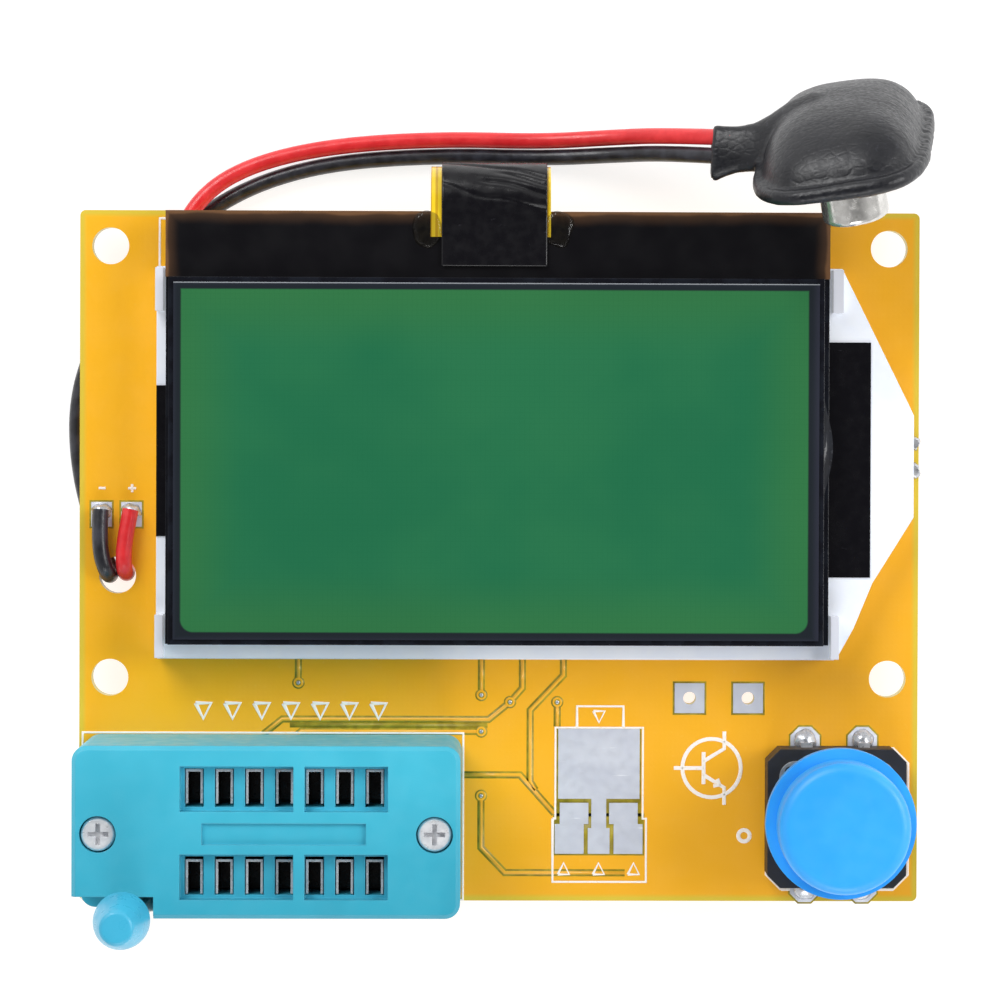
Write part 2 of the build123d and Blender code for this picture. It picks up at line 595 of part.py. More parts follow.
with BuildPart() as switch_housing:
    with BuildSketch(level(BOARD_TOP)):
        with Locations(SWITCH_CENTRE):
            Rectangle(SWITCH_SIDE, SWITCH_SIDE)
    extrude(amount=SWITCH_HEIGHT)
    chamfer(switch_housing.edges().filter_by(Axis.Z), SWITCH_CHAMFER)
    with BuildSketch(level(SWITCH_TOP)):
        with Locations(*PEGS):
            Circle(PEG_R)
    extrude(amount=PLATE_THICK + 0.15)
    with BuildSketch(level(BOARD_TOP + SWITCH_FLOOR)):
        with Locations(SWITCH_CENTRE):
            Circle(SWITCH_CAVITY_R)
    extrude(amount=SWITCH_HEIGHT - SWITCH_FLOOR, mode=Mode.SUBTRACT)
    leg_tops(Mode.SUBTRACT)
save(switch_housing, "switch_housing")

with BuildPart() as switch_terminals:
    with BuildSketch(level(0)):
        with Locations(*LEGS):
            Rectangle(LEG_WIDTH, LEG_THICK)
    extrude(amount=LEG_TOP)
    leg_tops(Mode.ADD)
save(switch_terminals, "switch_terminals")

with BuildPart() as switch_cover_plate:
    with BuildSketch(level(SWITCH_TOP)):
        with Locations(SWITCH_CENTRE):
            RectangleRounded(PLATE_SIDE, PLATE_SIDE, 1.4)
            RectangleRounded(STEM_SIDE + 0.4, STEM_SIDE + 0.4, 0.3, mode=Mode.SUBTRACT)
        with Locations(*PEGS):
            Circle(PEG_R, mode=Mode.SUBTRACT)
    extrude(amount=PLATE_THICK)
save(switch_cover_plate, "switch_cover_plate")

DOME_BOTTOM = BOARD_TOP + SWITCH_FLOOR


def cap_mid(radius, height):
    """The point half way out on a shallow round cap of the given rim radius and height."""
    sphere_r = (radius ** 2 + height ** 2) / (2 * height)
    return radius / 2, math.sqrt(sphere_r ** 2 - radius ** 2 / 4) - sphere_r + height


with BuildPart() as switch_dome:
    inner_r = DOME_R - 0.4
    inner_height = DOME_HEIGHT - DOME_THICK
    with BuildSketch(side(SWITCH_CENTRE[0], SWITCH_CENTRE[1], DOME_BOTTOM)):
        with BuildLine():
            ThreePointArc((0, DOME_HEIGHT), cap_mid(DOME_R, DOME_HEIGHT), (DOME_R, 0))
            Line((DOME_R, 0), (inner_r, 0))
            ThreePointArc((inner_r, 0), cap_mid(inner_r, inner_height), (0, inner_height))
            Line((0, inner_height), (0, DOME_HEIGHT))
        make_face()
    revolve(axis=Axis((SWITCH_CENTRE[0], BOARD_Y + SWITCH_CENTRE[1], 0), (0, 0, 1)))
save(switch_dome, "switch_dome")

STEM_TOP = BOARD_TOP + 7.3
PLUNGER_BOTTOM = DOME_BOTTOM + DOME_HEIGHT + 0.02
with BuildPart() as switch_plunger:
    with BuildSketch(level(PLUNGER_BOTTOM)):
        with Locations(SWITCH_CENTRE):
            Circle(DOME_R)
    extrude(amount=SWITCH_TOP - 0.1 - PLUNGER_BOTTOM)
    with BuildSketch(level(SWITCH_TOP - 0.1)):
        with Locations(SWITCH_CENTRE):
            Rectangle(STEM_SIDE, STEM_SIDE)
    extrude(amount=STEM_TOP - SWITCH_TOP + 0.1)
save(switch_plunger, "switch_plunger")

FLANGE_THICK = 1.1
GROOVE = 0.3
CAP_WALL = 1.0
BOSS_R = 3.3
BOSS_DROP = 1.0
with BuildPart() as button_cap:
    cap_bottom = BOARD_TOP + CAP_BOTTOM
    cap_top = BOARD_TOP + CAP_TOP
    with BuildSketch(side(SWITCH_CENTRE[0], SWITCH_CENTRE[1], 0)):
        with BuildLine():
            Polyline(
                (CAP_R - CAP_WALL, cap_bottom),
                (CAP_FLANGE_R, cap_bottom),
                (CAP_FLANGE_R, cap_bottom + FLANGE_THICK),
                (CAP_R - GROOVE, cap_bottom + FLANGE_THICK),
                (CAP_R - GROOVE, cap_bottom + FLANGE_THICK + 2 * GROOVE),
                (CAP_R, cap_bottom + FLANGE_THICK + 2 * GROOVE),
                (CAP_R, cap_top),
                (0, cap_top),
                (0, cap_top - CAP_WALL),
                (CAP_R - CAP_WALL, cap_top - CAP_WALL),
                close=True,
            )
        make_face()
    revolve(axis=Axis((SWITCH_CENTRE[0], BOARD_Y + SWITCH_CENTRE[1], 0), (0, 0, 1)))
    fillet(button_cap.faces().sort_by(Axis.Z)[-1].edges(), CAP_EDGE_R)
    with BuildSketch(level(cap_bottom - BOSS_DROP)):
        with Locations(SWITCH_CENTRE):
            Circle(BOSS_R)
    extrude(amount=cap_top - CAP_WALL - cap_bottom + BOSS_DROP)
    with BuildSketch(level(cap_bottom - BOSS_DROP)):
        with Locations(SWITCH_CENTRE):
            Rectangle(STEM_SIDE, STEM_SIDE)
    extrude(amount=STEM_TOP - cap_bottom + BOSS_DROP, mode=Mode.SUBTRACT)
save(button_cap, "button_cap")

# --- Parts on the board's underside ----------------------------------------------------------------
CHIP_CENTRE = (-8.0, 3.0)
CHIP_BODY, CHIP_BODY_THICK = 7.0, 1.0
CHIP_STANDOFF = 0.1
CHIP_PINS, CHIP_PITCH = 8, 0.8
with BuildPart() as microcontroller:
    with BuildSketch(level(PIN_LENGTH - CHIP_STANDOFF - CHIP_BODY_THICK)):
        with Locations(CHIP_CENTRE):
            Rectangle(CHIP_BODY, CHIP_BODY)
    extrude(amount=CHIP_BODY_THICK)
    chamfer(microcontroller.edges().filter_by(Axis.Z), 0.3)
save(microcontroller, "microcontroller")

CHIP_LEAD_WIDTH, CHIP_LEAD_THICK = 0.37, 0.15
with BuildPart() as microcontroller_leads:
    for turn in range(4):
        flat = level(0).rotated((0, 0, 90 * turn))
        flat.origin = (CHIP_CENTRE[0], BOARD_Y + CHIP_CENTRE[1], PIN_LENGTH)
        with BuildSketch(flat):
            with Locations((CHIP_BODY / 2 + 0.75, 0)):
                with GridLocations(1, CHIP_PITCH, 1, CHIP_PINS):
                    Rectangle(0.7, CHIP_LEAD_WIDTH)
        extrude(amount=-CHIP_LEAD_THICK)
        with BuildSketch(flat):
            with Locations((CHIP_BODY / 2 + 0.4, 0)):
                with GridLocations(1, CHIP_PITCH, 1, CHIP_PINS):
                    Rectangle(CHIP_LEAD_THICK, CHIP_LEAD_WIDTH)
        extrude(amount=-0.65)
        with BuildSketch(flat.offset(-0.65)):
            with Locations((CHIP_BODY / 2 + 0.2375, 0)):
                with GridLocations(1, CHIP_PITCH, 1, CHIP_PINS):
                    Rectangle(0.475, CHIP_LEAD_WIDTH)
        extrude(amount=CHIP_LEAD_THICK)
save(microcontroller_leads, "microcontroller_leads")

with BuildPart() as crystal:
    with BuildSketch(level(0)):
        with Locations(CRYSTAL_CENTRE):
            SlotOverall(CRYSTAL_LENGTH, CRYSTAL_WIDTH)
    extrude(amount=PIN_LENGTH - 0.4)
    fillet(crystal.faces().sort_by(Axis.Z)[0].edges(), 0.35)
    with BuildSketch(level(PIN_LENGTH - 0.4)):
        with Locations(CRYSTAL_CENTRE):
            SlotOverall(CRYSTAL_LENGTH + 0.6, CRYSTAL_WIDTH + 0.4)
    extrude(amount=0.4)
    with BuildSketch(level(PIN_LENGTH)):
        with Locations(*CRYSTAL_LEADS):
            Circle(LEAD_R)
    extrude(amount=BOARD_THICK)
save(crystal, "crystal")


def underside_blocks(centres, length, width, thick):
    """Plain blocks that hang from the board's underside at the given centres."""
    with BuildSketch(level(PIN_LENGTH - thick)) as blocks:
        with Locations(*centres):
            Rectangle(length, width)
    extrude(blocks.sketch, amount=thick)


def small_outline_feet(centres):
    """Three feet on each small three-legged package: one behind it and two in front."""
    feet = []
    for x, y in centres:
        feet += [(x, y + 0.95), (x - 0.95, y - 0.95), (x + 0.95, y - 0.95)]
    underside_blocks(feet, 0.4, 0.6, 0.15)


with BuildPart() as voltage_regulator:
    underside_blocks([(-20.0, 12.0)], 4.5, 2.5, 1.5)
    underside_blocks([(-21.5, 10.4), (-20.0, 10.4), (-18.5, 10.4)], 0.45, 0.9, 0.4)
    underside_blocks([(-20.0, 13.6)], 1.7, 0.9, 0.4)
save(voltage_regulator, "voltage_regulator")

REFERENCE = [(-14.0, 13.0)]
TRANSISTORS = [(18.0, 4.0), (22.5, 4.0), (18.0, -1.0)]
for name, centres in (("voltage_reference", REFERENCE), ("transistors", TRANSISTORS)):
    with BuildPart() as small_outline:
        underside_blocks(centres, 2.9, 1.3, 1.0)
        small_outline_feet(centres)
    save(small_outline, name)

RESISTORS = [(x, y) for y in (-9.0, -11.0) for x in (-20.0, -17.5, -15.0, -12.5, -10.0, -7.5)]
RESISTORS += [(6.0 + 2.5 * place, 3.0) for place in range(4)]
with BuildPart() as chip_resistors:
    underside_blocks(RESISTORS, 1.6, 0.8, 0.45)
save(chip_resistors, "chip_resistors")

CAPACITORS = [(4.5, 13.5), (11.5, 13.5), (-16.0, 8.0), (-25.0, 12.0), (0.0, -4.0), (-14.5, -1.5)]
with BuildPart() as chip_capacitors:
    underside_blocks(CAPACITORS, 2.0, 1.25, 0.8)
save(chip_capacitors, "chip_capacitors")


# --- Solder ----------------------------------------------------------------------------------------
def solder_cones(centres, foot_r, height, pin_x, pin_y):
    """Solder round each pin on the board's underside, with the pin's own section left out."""
    with BuildSketch(level(PIN_LENGTH)) as feet:
        with Locations(*centres):
            Circle(foot_r)
    extrude(feet.sketch, amount=-height, taper=35)
    with BuildSketch(level(PIN_LENGTH)) as pins:
        with Locations(*centres):
            Rectangle(pin_x, pin_y)
    extrude(pins.sketch, amount=-height, mode=Mode.SUBTRACT)


with BuildPart() as zif_solder_joints:
    solder_cones(CONTACTS, 0.95, 0.7, TAIL_X, TAIL_Y)
save(zif_solder_joints, "zif_solder_joints")

with BuildPart() as switch_solder_joints:
    solder_cones(LEGS, 1.2, 0.6, LEG_WIDTH, LEG_THICK)
save(switch_solder_joints, "switch_solder_joints")

# Each battery wire's bare end lies flat under a mound of solder.
STRAND_R = 0.3
STRAND_Y = 2.3
WIRE_HEIGHT = BOARD_TOP + WIRE_R + 0.05
with BuildPart() as wire_solder_joints:
    for x, y in BATTERY_PADS:
        with BuildSketch(side(x, y, BOARD_TOP)):
            with BuildLine():
                Line((0, 0), (1.05, 0))
                ThreePointArc((1.05, 0), (0.75, 0.7), (0, 0.95))
                Line((0, 0.95), (0, 0))
            make_face()
        revolve(axis=Axis((x, BOARD_Y + y, 0), (0, 0, 1)))
        with BuildSketch(side(x, y, WIRE_HEIGHT)):
            Circle(STRAND_R)
        extrude(amount=y - STRAND_Y)
save(wire_solder_joints, "wire_solder_joints")

# --- Battery wires ---------------------------------------------------------------------------------
# Each route starts at its pad, drops through the relief hole, runs under the board and leaves it
# behind the display. The black wire bulges past the board's left edge.
RED_ROUTE = [
    (-32.0, STRAND_Y, WIRE_HEIGHT),
    (-32.48, -1.7, WIRE_HEIGHT + 0.2),
    (-32.48, -1.7, 1.5),
    (-33.6, 2.8, 1.0),
    (-34.8, 7.8, 0.8),
    (-34.7, 13.0, 0.8),
    (-33.0, 18.2, 1.3),
    (-30.4, 23.0, 2.1),
    (-28.4, 27.6, 2.25),
    (-26.0, 31.7, 2.1),
    (-21.6, 34.3, 1.5),
    (-14.6, 35.9, 1.35),
    (-5.2, 36.5, 1.35),
    (3.6, 36.3, 1.4),
    (9.6, 36.6, 2.8),
    (14.2, 36.6, 6.3),
    (18.6, 36.3, 10.2),
]
BLACK_ROUTE = [
    (-34.6, STRAND_Y, WIRE_HEIGHT),
    (-33.92, -1.7, WIRE_HEIGHT + 0.2),
    (-33.92, -1.7, 1.5),
    (-35.8, 2.6, 1.0),
    (-37.1, 8.0, 0.8),
    (-37.2, 13.6, 0.75),
    (-35.6, 18.6, 0.75),
    (-32.3, 23.2, 0.75),
    (-29.0, 27.0, 0.75),
    (-25.6, 30.3, 0.75),
    (-20.6, 32.9, 0.75),
    (-14.2, 34.5, 0.75),
    (-5.0, 35.1, 0.75),
    (3.8, 34.9, 0.8),
    (9.8, 35.1, 2.5),
    (14.4, 35.1, 6.0),
    (18.6, 34.7, 9.9),
]


def bend_radii(points):
    """The largest tangent arc that each corner's two runs leave room for."""
    radii = []
    for before, corner, after in zip(points, points[1:], points[2:]):
        first = Vector(*corner) - Vector(*before)
        second = Vector(*after) - Vector(*corner)
        half_turn = math.radians(first.get_angle(second)) / 2
        radii.append(0.45 * min(first.length, second.length) / math.tan(half_turn))
    return radii


def wire_tube(points):
    """A round wire along a route given from the board's centre."""
    route = [(x, y + BOARD_Y, z) for x, y, z in points]
    radii = bend_radii(route)
    print("bend radii", " ".join(f"{radius:.1f}" for radius in radii))
    with BuildLine() as path:
        FilletPolyline(*route, radius=radii)
    with BuildSketch(Plane(origin=path.line @ 0, z_dir=path.line % 0)) as section:
        Circle(WIRE_R)
    sweep(section.sketch, path=path.line)
    length = sum(edge.length for edge in path.line.edges())
    print(f"wire length {length:.1f}, section times length {length * math.pi * WIRE_R ** 2:.2f}")


with BuildPart() as battery_wire_red:
    wire_tube(RED_ROUTE)
print(f"red tube volume {battery_wire_red.part.volume:.2f}")
save(battery_wire_red, "battery_wire_red")

with BuildPart() as battery_wire_black:
    wire_tube(BLACK_ROUTE)
print(f"black tube volume {battery_wire_black.part.volume:.2f}")
save(battery_wire_black, "battery_wire_black")

# --- Battery snap ----------------------------------------------------------------------------------
# The snap's own axes: x across it, y from the socket to the stud, z out of the terminals' side.
snap_location = Location((SNAP_CENTRE[0], BOARD_Y + SNAP_CENTRE[1], SNAP_CENTRE[2]))
snap_location *= Rotation(0, 0, SNAP_TURN) * Rotation(SNAP_LEAN, 0, 0) * Rotation(0, 0, SNAP_ROLL)
SNAP_PLANE = Plane(snap_location)
BOARD_HALF = 0.4                      # half the snap board's thickness
RIVET_R, RIVET_HEAD_R = 1.15, 2.0
SNAP_INSET = 1.3
TERMINALS = [(0, TERMINAL_PITCH / 2), (0, -TERMINAL_PITCH / 2)]


def snap_outline(inset=0.0):
    """The cover's round-ended outline, drawn in by an inset, in the snap's own axes."""
    SlotOverall(SNAP_LENGTH - 2 * inset, SNAP_WIDTH - 2 * inset, rotation=90)


with BuildPart() as snap_cover:
    with BuildSketch(SNAP_PLANE.offset(SNAP_BACK)):
        snap_outline()
    extrude(amount=SNAP_FRONT - SNAP_BACK)
    back_face = snap_cover.faces().sort_by(Axis(SNAP_PLANE.origin, SNAP_PLANE.z_dir))[0]
    fillet(back_face.edges(), 1.6)
    left, right, front, back, bottom, top = TAB_BOX
    with BuildSketch(level(bottom)):
        span_rectangle(left, right, front, back)
    extrude(amount=top - bottom)
    # room inside for the snap board and its rivets
    with BuildSketch(SNAP_PLANE.offset(-BOARD_HALF - 0.7)):
        snap_outline(SNAP_INSET - 0.05)
    extrude(amount=2 * BOARD_HALF + 0.7, mode=Mode.SUBTRACT)
    with BuildSketch(SNAP_PLANE):
        with Locations(*TERMINALS):
            Circle(RIVET_R + 0.05)
    extrude(amount=5, mode=Mode.SUBTRACT)
save(snap_cover, "snap_cover")

with BuildPart() as snap_board:
    with BuildSketch(SNAP_PLANE.offset(-BOARD_HALF)):
        snap_outline(SNAP_INSET)
        with Locations(*TERMINALS):
            Circle(RIVET_R + 0.05, mode=Mode.SUBTRACT)
    extrude(amount=2 * BOARD_HALF)
save(snap_board, "snap_board")

RIVET_REACH = 1.0                     # how far a rivet runs up into its terminal
with BuildPart() as snap_rivets:
    with BuildSketch(SNAP_PLANE.offset(-BOARD_HALF - 0.6)):
        with Locations(*TERMINALS):
            Circle(RIVET_HEAD_R)
    extrude(amount=0.6)
    with BuildSketch(SNAP_PLANE.offset(-BOARD_HALF)):
        with Locations(*TERMINALS):
            Circle(RIVET_R)
    extrude(amount=BOARD_HALF + SNAP_FRONT + RIVET_REACH)
save(snap_rivets, "snap_rivets")

with BuildPart() as snap_stud:
    with BuildSketch(SNAP_PLANE.offset(SNAP_FRONT)):
        with Locations(TERMINALS[0]):
            Circle(STUD_R)
    extrude(amount=STUD_HEIGHT)
    top_face = snap_stud.faces().sort_by(Axis(SNAP_PLANE.origin, SNAP_PLANE.z_dir))[-1]
    fillet(top_face.edges(), 0.5)
    with BuildSketch(SNAP_PLANE.offset(SNAP_FRONT)):
        with Locations(TERMINALS[0]):
            Circle(RIVET_R)
    extrude(amount=RIVET_REACH, mode=Mode.SUBTRACT)
save(snap_stud, "snap_stud")

SOCKET_FLOOR = 1.0
with BuildPart() as snap_socket:
    with BuildSketch(SNAP_PLANE.offset(SNAP_FRONT)):
        with Locations(TERMINALS[1]):
            RegularPolygon(SOCKET_R, 6)
    extrude(amount=STUD_HEIGHT)
    with BuildSketch(SNAP_PLANE.offset(SNAP_FRONT + SOCKET_FLOOR)):
        with Locations(TERMINALS[1]):
            Circle(SOCKET_BORE_R)
    extrude(amount=STUD_HEIGHT, mode=Mode.SUBTRACT)
    with BuildSketch(SNAP_PLANE.offset(SNAP_FRONT)):
        with Locations(TERMINALS[1]):
            Circle(RIVET_R)
    extrude(amount=RIVET_REACH, mode=Mode.SUBTRACT)
save(snap_socket, "snap_socket")
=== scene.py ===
"""The looks of the component tester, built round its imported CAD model.

Lengths are millimetres, and at() turns them into the frame's metres. A place on the board is
measured from the board's centre, and a height from the table.
"""
import math

import bpy
from mathutils import Euler, Matrix, Vector, noise


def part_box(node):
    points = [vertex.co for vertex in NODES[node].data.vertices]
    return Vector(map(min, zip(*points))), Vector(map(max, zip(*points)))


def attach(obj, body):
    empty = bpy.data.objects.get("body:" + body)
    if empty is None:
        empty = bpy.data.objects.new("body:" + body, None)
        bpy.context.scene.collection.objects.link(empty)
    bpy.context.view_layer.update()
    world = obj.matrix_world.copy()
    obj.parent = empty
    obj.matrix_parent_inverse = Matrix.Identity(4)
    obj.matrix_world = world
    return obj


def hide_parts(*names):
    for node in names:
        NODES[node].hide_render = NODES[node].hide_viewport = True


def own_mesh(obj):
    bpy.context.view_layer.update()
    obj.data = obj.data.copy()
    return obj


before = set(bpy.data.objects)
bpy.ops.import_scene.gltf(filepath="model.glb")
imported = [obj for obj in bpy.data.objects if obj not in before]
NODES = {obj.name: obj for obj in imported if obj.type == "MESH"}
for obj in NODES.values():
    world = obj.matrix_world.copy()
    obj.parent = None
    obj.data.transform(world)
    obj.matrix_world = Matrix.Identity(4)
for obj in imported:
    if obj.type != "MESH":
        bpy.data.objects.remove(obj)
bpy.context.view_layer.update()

MM = 0.001
BOARD_LOW, BOARD_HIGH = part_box("circuit_board")
BOARD_CENTRE = (BOARD_LOW + BOARD_HIGH) / 2
BOARD_TOP = BOARD_HIGH.z / MM


def at(x, y, z):
    """A point given from the board's centre and the table, in the frame's metres."""
    return Vector((BOARD_CENTRE.x + x * MM, BOARD_CENTRE.y + y * MM, z * MM))


def from_board(point):
    """A point in the frame's metres, given from the board's centre and the table."""
    return Vector(((point.x - BOARD_CENTRE.x) / MM, (point.y - BOARD_CENTRE.y) / MM, point.z / MM))


def node_box(name):
    """The low and the high corner of a CAD node's box, given from the board's centre and the table."""
    return [from_board(corner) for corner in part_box(name)]


# --- Camera ---
CAMERA_PLACE = (-0.70, 13.18, 340.0)
CAMERA_TURN = (-0.744, -0.862, 0.207)
CAMERA_LENS = 138.6
CAMERA_SHIFT = (-0.0495, -0.0573)

camera_data = bpy.data.cameras.new("camera")
camera = bpy.data.objects.new("camera", camera_data)
bpy.context.scene.collection.objects.link(camera)
camera.location = Vector(CAMERA_PLACE) * MM
camera.rotation_euler = Euler([math.radians(angle) for angle in CAMERA_TURN], "XYZ")
camera_data.lens = CAMERA_LENS
camera_data.sensor_width = 36.0
camera_data.shift_x, camera_data.shift_y = CAMERA_SHIFT
camera_data.clip_start, camera_data.clip_end = 0.01, 10.0
bpy.context.scene.camera = camera

# --- Battery wires ---
WIRE_D = 1.4
RED_ROUTE = [
    (-32.0, 4.0, 5.35),
    (-32.6, 1.0, 5.75),
    (-32.55, -1.5, 5.5),
    (-32.48, -1.7, 1.5),
    (-33.6, 2.8, 1.0),
    (-34.8, 7.8, 0.8),
    (-34.7, 13.0, 0.8),
    (-33.0, 18.2, 1.3),
    (-30.4, 23.0, 2.1),
    (-28.4, 27.6, 2.25),
    (-26.0, 31.7, 2.1),
    (-21.6, 34.3, 1.5),
    (-14.6, 35.9, 1.35),
    (-5.2, 36.5, 1.35),
    (3.6, 36.3, 1.4),
    (9.6, 36.6, 2.8),
    (14.2, 36.6, 6.3),
    (19.9, 36.1, 10.9),
]
BLACK_ROUTE = [
    (-34.6, 4.0, 5.35),
    (-34.75, 0.8, 5.75),
    (-33.95, -1.8, 5.5),
    (-33.92, -1.7, 1.5),
    (-35.8, 2.6, 1.0),
    (-37.1, 8.0, 0.8),
    (-37.2, 13.6, 0.75),
    (-35.6, 18.6, 0.75),
    (-32.3, 23.2, 0.75),
    (-29.0, 27.0, 0.75),
    (-25.6, 30.3, 0.75),
    (-20.6, 32.9, 0.75),
    (-14.2, 34.5, 0.75),
    (-5.0, 35.1, 0.75),
    (3.8, 34.9, 0.8),
    (9.8, 35.1, 2.5),
    (14.4, 35.1, 6.0),
    (19.6, 34.5, 10.6),
]


def make_wire(name, route):
    """A round wire on a smooth curve whose control points are a route's points."""
    curve = bpy.data.curves.new(name, "CURVE")
    curve.dimensions = "3D"
    curve.bevel_depth = WIRE_D / 2 * MM
    curve.bevel_resolution = 6
    curve.resolution_u = 10
    curve.use_fill_caps = True
    spline = curve.splines.new("NURBS")
    spline.points.add(len(route) - 1)
    for point, place in zip(spline.points, route):
        point.co = (*at(*place), 1.0)
    spline.order_u = 3
    spline.use_endpoint_u = True
    wire = bpy.data.objects.new(name, curve)
    bpy.context.scene.collection.objects.link(wire)
    return wire


red_wire = make_wire("red_wire", RED_ROUTE)
black_wire = make_wire("black_wire", BLACK_ROUTE)


# --- Making materials ---
def tint(red, green, blue):
    """A display colour from 0 to 255 as the linear colour that a shader takes."""
    return tuple(((value / 255 + 0.055) / 1.055) ** 2.4 if value > 10 else value / 3295
                 for value in (red, green, blue)) + (1.0,)


class Finish:
    """A node material that is put together step by step on one Principled shader."""

    def __init__(self, name, roughness, metallic=0.0, **inputs):
        self.material = bpy.data.materials.new(name)
        self.material.use_nodes = True
        self.tree = self.material.node_tree
        self.shader = self.tree.nodes["Principled BSDF"]
        self.shader.inputs["Roughness"].default_value = roughness
        self.shader.inputs["Metallic"].default_value = metallic
        for key, value in inputs.items():
            self.shader.inputs[key.replace("_", " ")].default_value = value
        self.place = self.add("ShaderNodeTexCoord", {}, "Object")
        self.height = None

    def feed(self, socket, value):
        """Link an output to a socket, or set the socket to a constant."""
        if isinstance(value, bpy.types.NodeSocket):
            self.tree.links.new(value, socket)
        else:
            socket.default_value = value

    def add(self, kind, inputs, output=0, **settings):
        """Add a node, feed its inputs and give back one of its outputs."""
        node = self.tree.nodes.new(kind)
        for key, value in settings.items():
            setattr(node, key, value)
        for key, value in inputs.items():
            self.feed(node.inputs[key], value)
        return node.outputs[output]

    def math(self, operation, first, second=0.0):
        return self.add("ShaderNodeMath", {0: first, 1: second}, operation=operation)

    def less(self, first, second):
        return self.math("SUBTRACT", first, second)

    def times(self, first, second):
        return self.math("MULTIPLY", first, second)

    def least(self, first, *others):
        """The smallest of several values."""
        for other in others:
            first = self.math("MINIMUM", first, other)
        return first

    def axis(self, letter, source=None):
        """One coordinate of the place, in metres in the frame, or of another vector."""
        return self.add("ShaderNodeSeparateXYZ", {0: source or self.place}, letter)

    def scaled(self, factors):
        """The place stretched by a factor along each axis."""
        return self.add("ShaderNodeMapping", {"Vector": self.place, "Scale": factors})

    def noise(self, size, detail=2.0, stretch=(1, 1, 1)):
        """Soft random spots about size millimetres across, from 0 to 1."""
        inputs = {"Vector": self.scaled(stretch), "Scale": 1 / (size * MM), "Detail": detail}
        return self.add("ShaderNodeTexNoise", inputs, "Fac")

    def cells(self, size, stretch):
        """How far a place is from the edge of its cell, of about size millimetres across."""
        inputs = {"Vector": self.scaled(stretch), "Scale": 1 / (size * MM)}
        return self.add("ShaderNodeTexVoronoi", inputs, "Distance", feature="DISTANCE_TO_EDGE")

    def bands(self, direction, scale):
        """Soft parallel bands, as in woven cloth."""
        inputs = {"Vector": self.place, "Scale": scale}
        return self.add("ShaderNodeTexWave", inputs, "Fac", wave_type="BANDS", bands_direction=direction)

    def upright(self, low, high):
        """1 on a wall and 0 on a level face."""
        normal = self.add("ShaderNodeNewGeometry", {}, "Normal")
        return self.ramp(self.math("ABSOLUTE", self.axis("Z", normal)), low, high, 1.0, 0.0)

    def ramp(self, value, low, high, start=0.0, end=1.0):
        """A value's range from low to high, spread smoothly over start to end."""
        inputs = {"Value": value, "From Min": low, "From Max": high, "To Min": start, "To Max": end}
        return self.add("ShaderNodeMapRange", inputs, interpolation_type="SMOOTHSTEP")

    def patches(self, size, detail, low=0.35, high=0.65, start=0.0, end=1.0):
        """Soft patches about size millimetres across, from start to end."""
        return self.ramp(self.noise(size, detail), low, high, start, end)

    def mix(self, share, first, second):
        """The first colour at share 0 and the second at share 1."""
        return self.add("ShaderNodeMix", {0: share, 6: first, 7: second}, 2, data_type="RGBA")

    def color(self, value):
        self.feed(self.shader.inputs["Base Color"], value)
        return self

    def rough(self, value):
        self.feed(self.shader.inputs["Roughness"], value)
        return self

    def rough_patches(self, size, detail, smoothest, roughest):
        return self.rough(self.patches(size, detail, 0.3, 0.7, smoothest, roughest))

    def bump(self, height, depth, strength=1.0):
        """Relief from a 0 to 1 height, depth millimetres deep, added to what is there already."""
        inputs = {"Strength": strength, "Distance": depth * MM, "Height": height}
        if self.height is not None:
            inputs["Normal"] = self.height
        self.height = self.add("ShaderNodeBump", inputs)
        self.feed(self.shader.inputs["Normal"], self.height)
        return self

    def grain(self, size, detail, depth, strength):
        """Relief of soft random spots."""
        return self.bump(self.noise(size, detail), depth, strength)

    def worn_edges(self, radius):
        """Shade edges as if they were rounded, so that they catch light."""
        self.height = self.add("ShaderNodeBevel", {"Radius": radius * MM}, samples=6)
        self.feed(self.shader.inputs["Normal"], self.height)
        return self


def plastic(name, main, other, roughness, spots=0.6, **inputs):
    """Moulded plastic: two near tones, faint flow marks and a fine satin skin."""
    skin = Finish(name, roughness, **inputs).worn_edges(0.12)
    skin.color(skin.mix(skin.patches(6.0, 3.0), main, other))
    skin.rough_patches(1.4, 4.0, roughness - 0.05, roughness + 0.08)
    skin.grain(0.16, 2.0, 0.006, spots)
    return skin.grain(3.5, 2.0, 0.03, 0.5).material


def socket_plastic():
    """The test socket's moulded plastic, with painted shade towards its front and painted light towards its
    back.
    """
    low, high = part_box("zif_cover")
    skin = Finish("socket_plastic", 0.38).worn_edges(0.12)
    tone = skin.patches(6.0, 3.0)
    # painted shade at the front and painted light at the back, blended along Y
    painted_shade_tone = skin.mix(tone, tint(52, 160, 186), tint(56, 166, 192))
    painted_light_tone = skin.mix(tone, tint(66, 184, 211), tint(72, 190, 217))
    skin.color(skin.mix(skin.ramp(skin.axis("Y"), low.y, high.y), painted_shade_tone, painted_light_tone))
    skin.rough_patches(1.4, 4.0, 0.32, 0.46)
    skin.grain(0.16, 2.0, 0.008, 0.6)
    return skin.grain(3.5, 2.0, 0.03, 0.5).material


def contact_metal():
    """The contacts' tin, with a painted highlight on the cut edges at their tops and painted shade below.
    """
    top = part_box("zif_contacts")[1].z
    skin = Finish("contact", 0.25, 0.4).worn_edges(0.04)
    # painted shade on the lower contact, under a painted highlight along the top edges
    painted_shade_tone = skin.mix(skin.noise(0.5, 3.0), tint(34, 32, 34), tint(70, 66, 66))
    skin.color(skin.mix(skin.ramp(skin.axis("Z"), top - 0.0003, top - 0.0001), painted_shade_tone, tint(222, 224, 228)))
    skin.rough_patches(0.6, 4.0, 0.2, 0.36)
    return skin.bump(skin.noise(0.2, 3.0, (1, 1, 0.2)), 0.01, 0.6).material


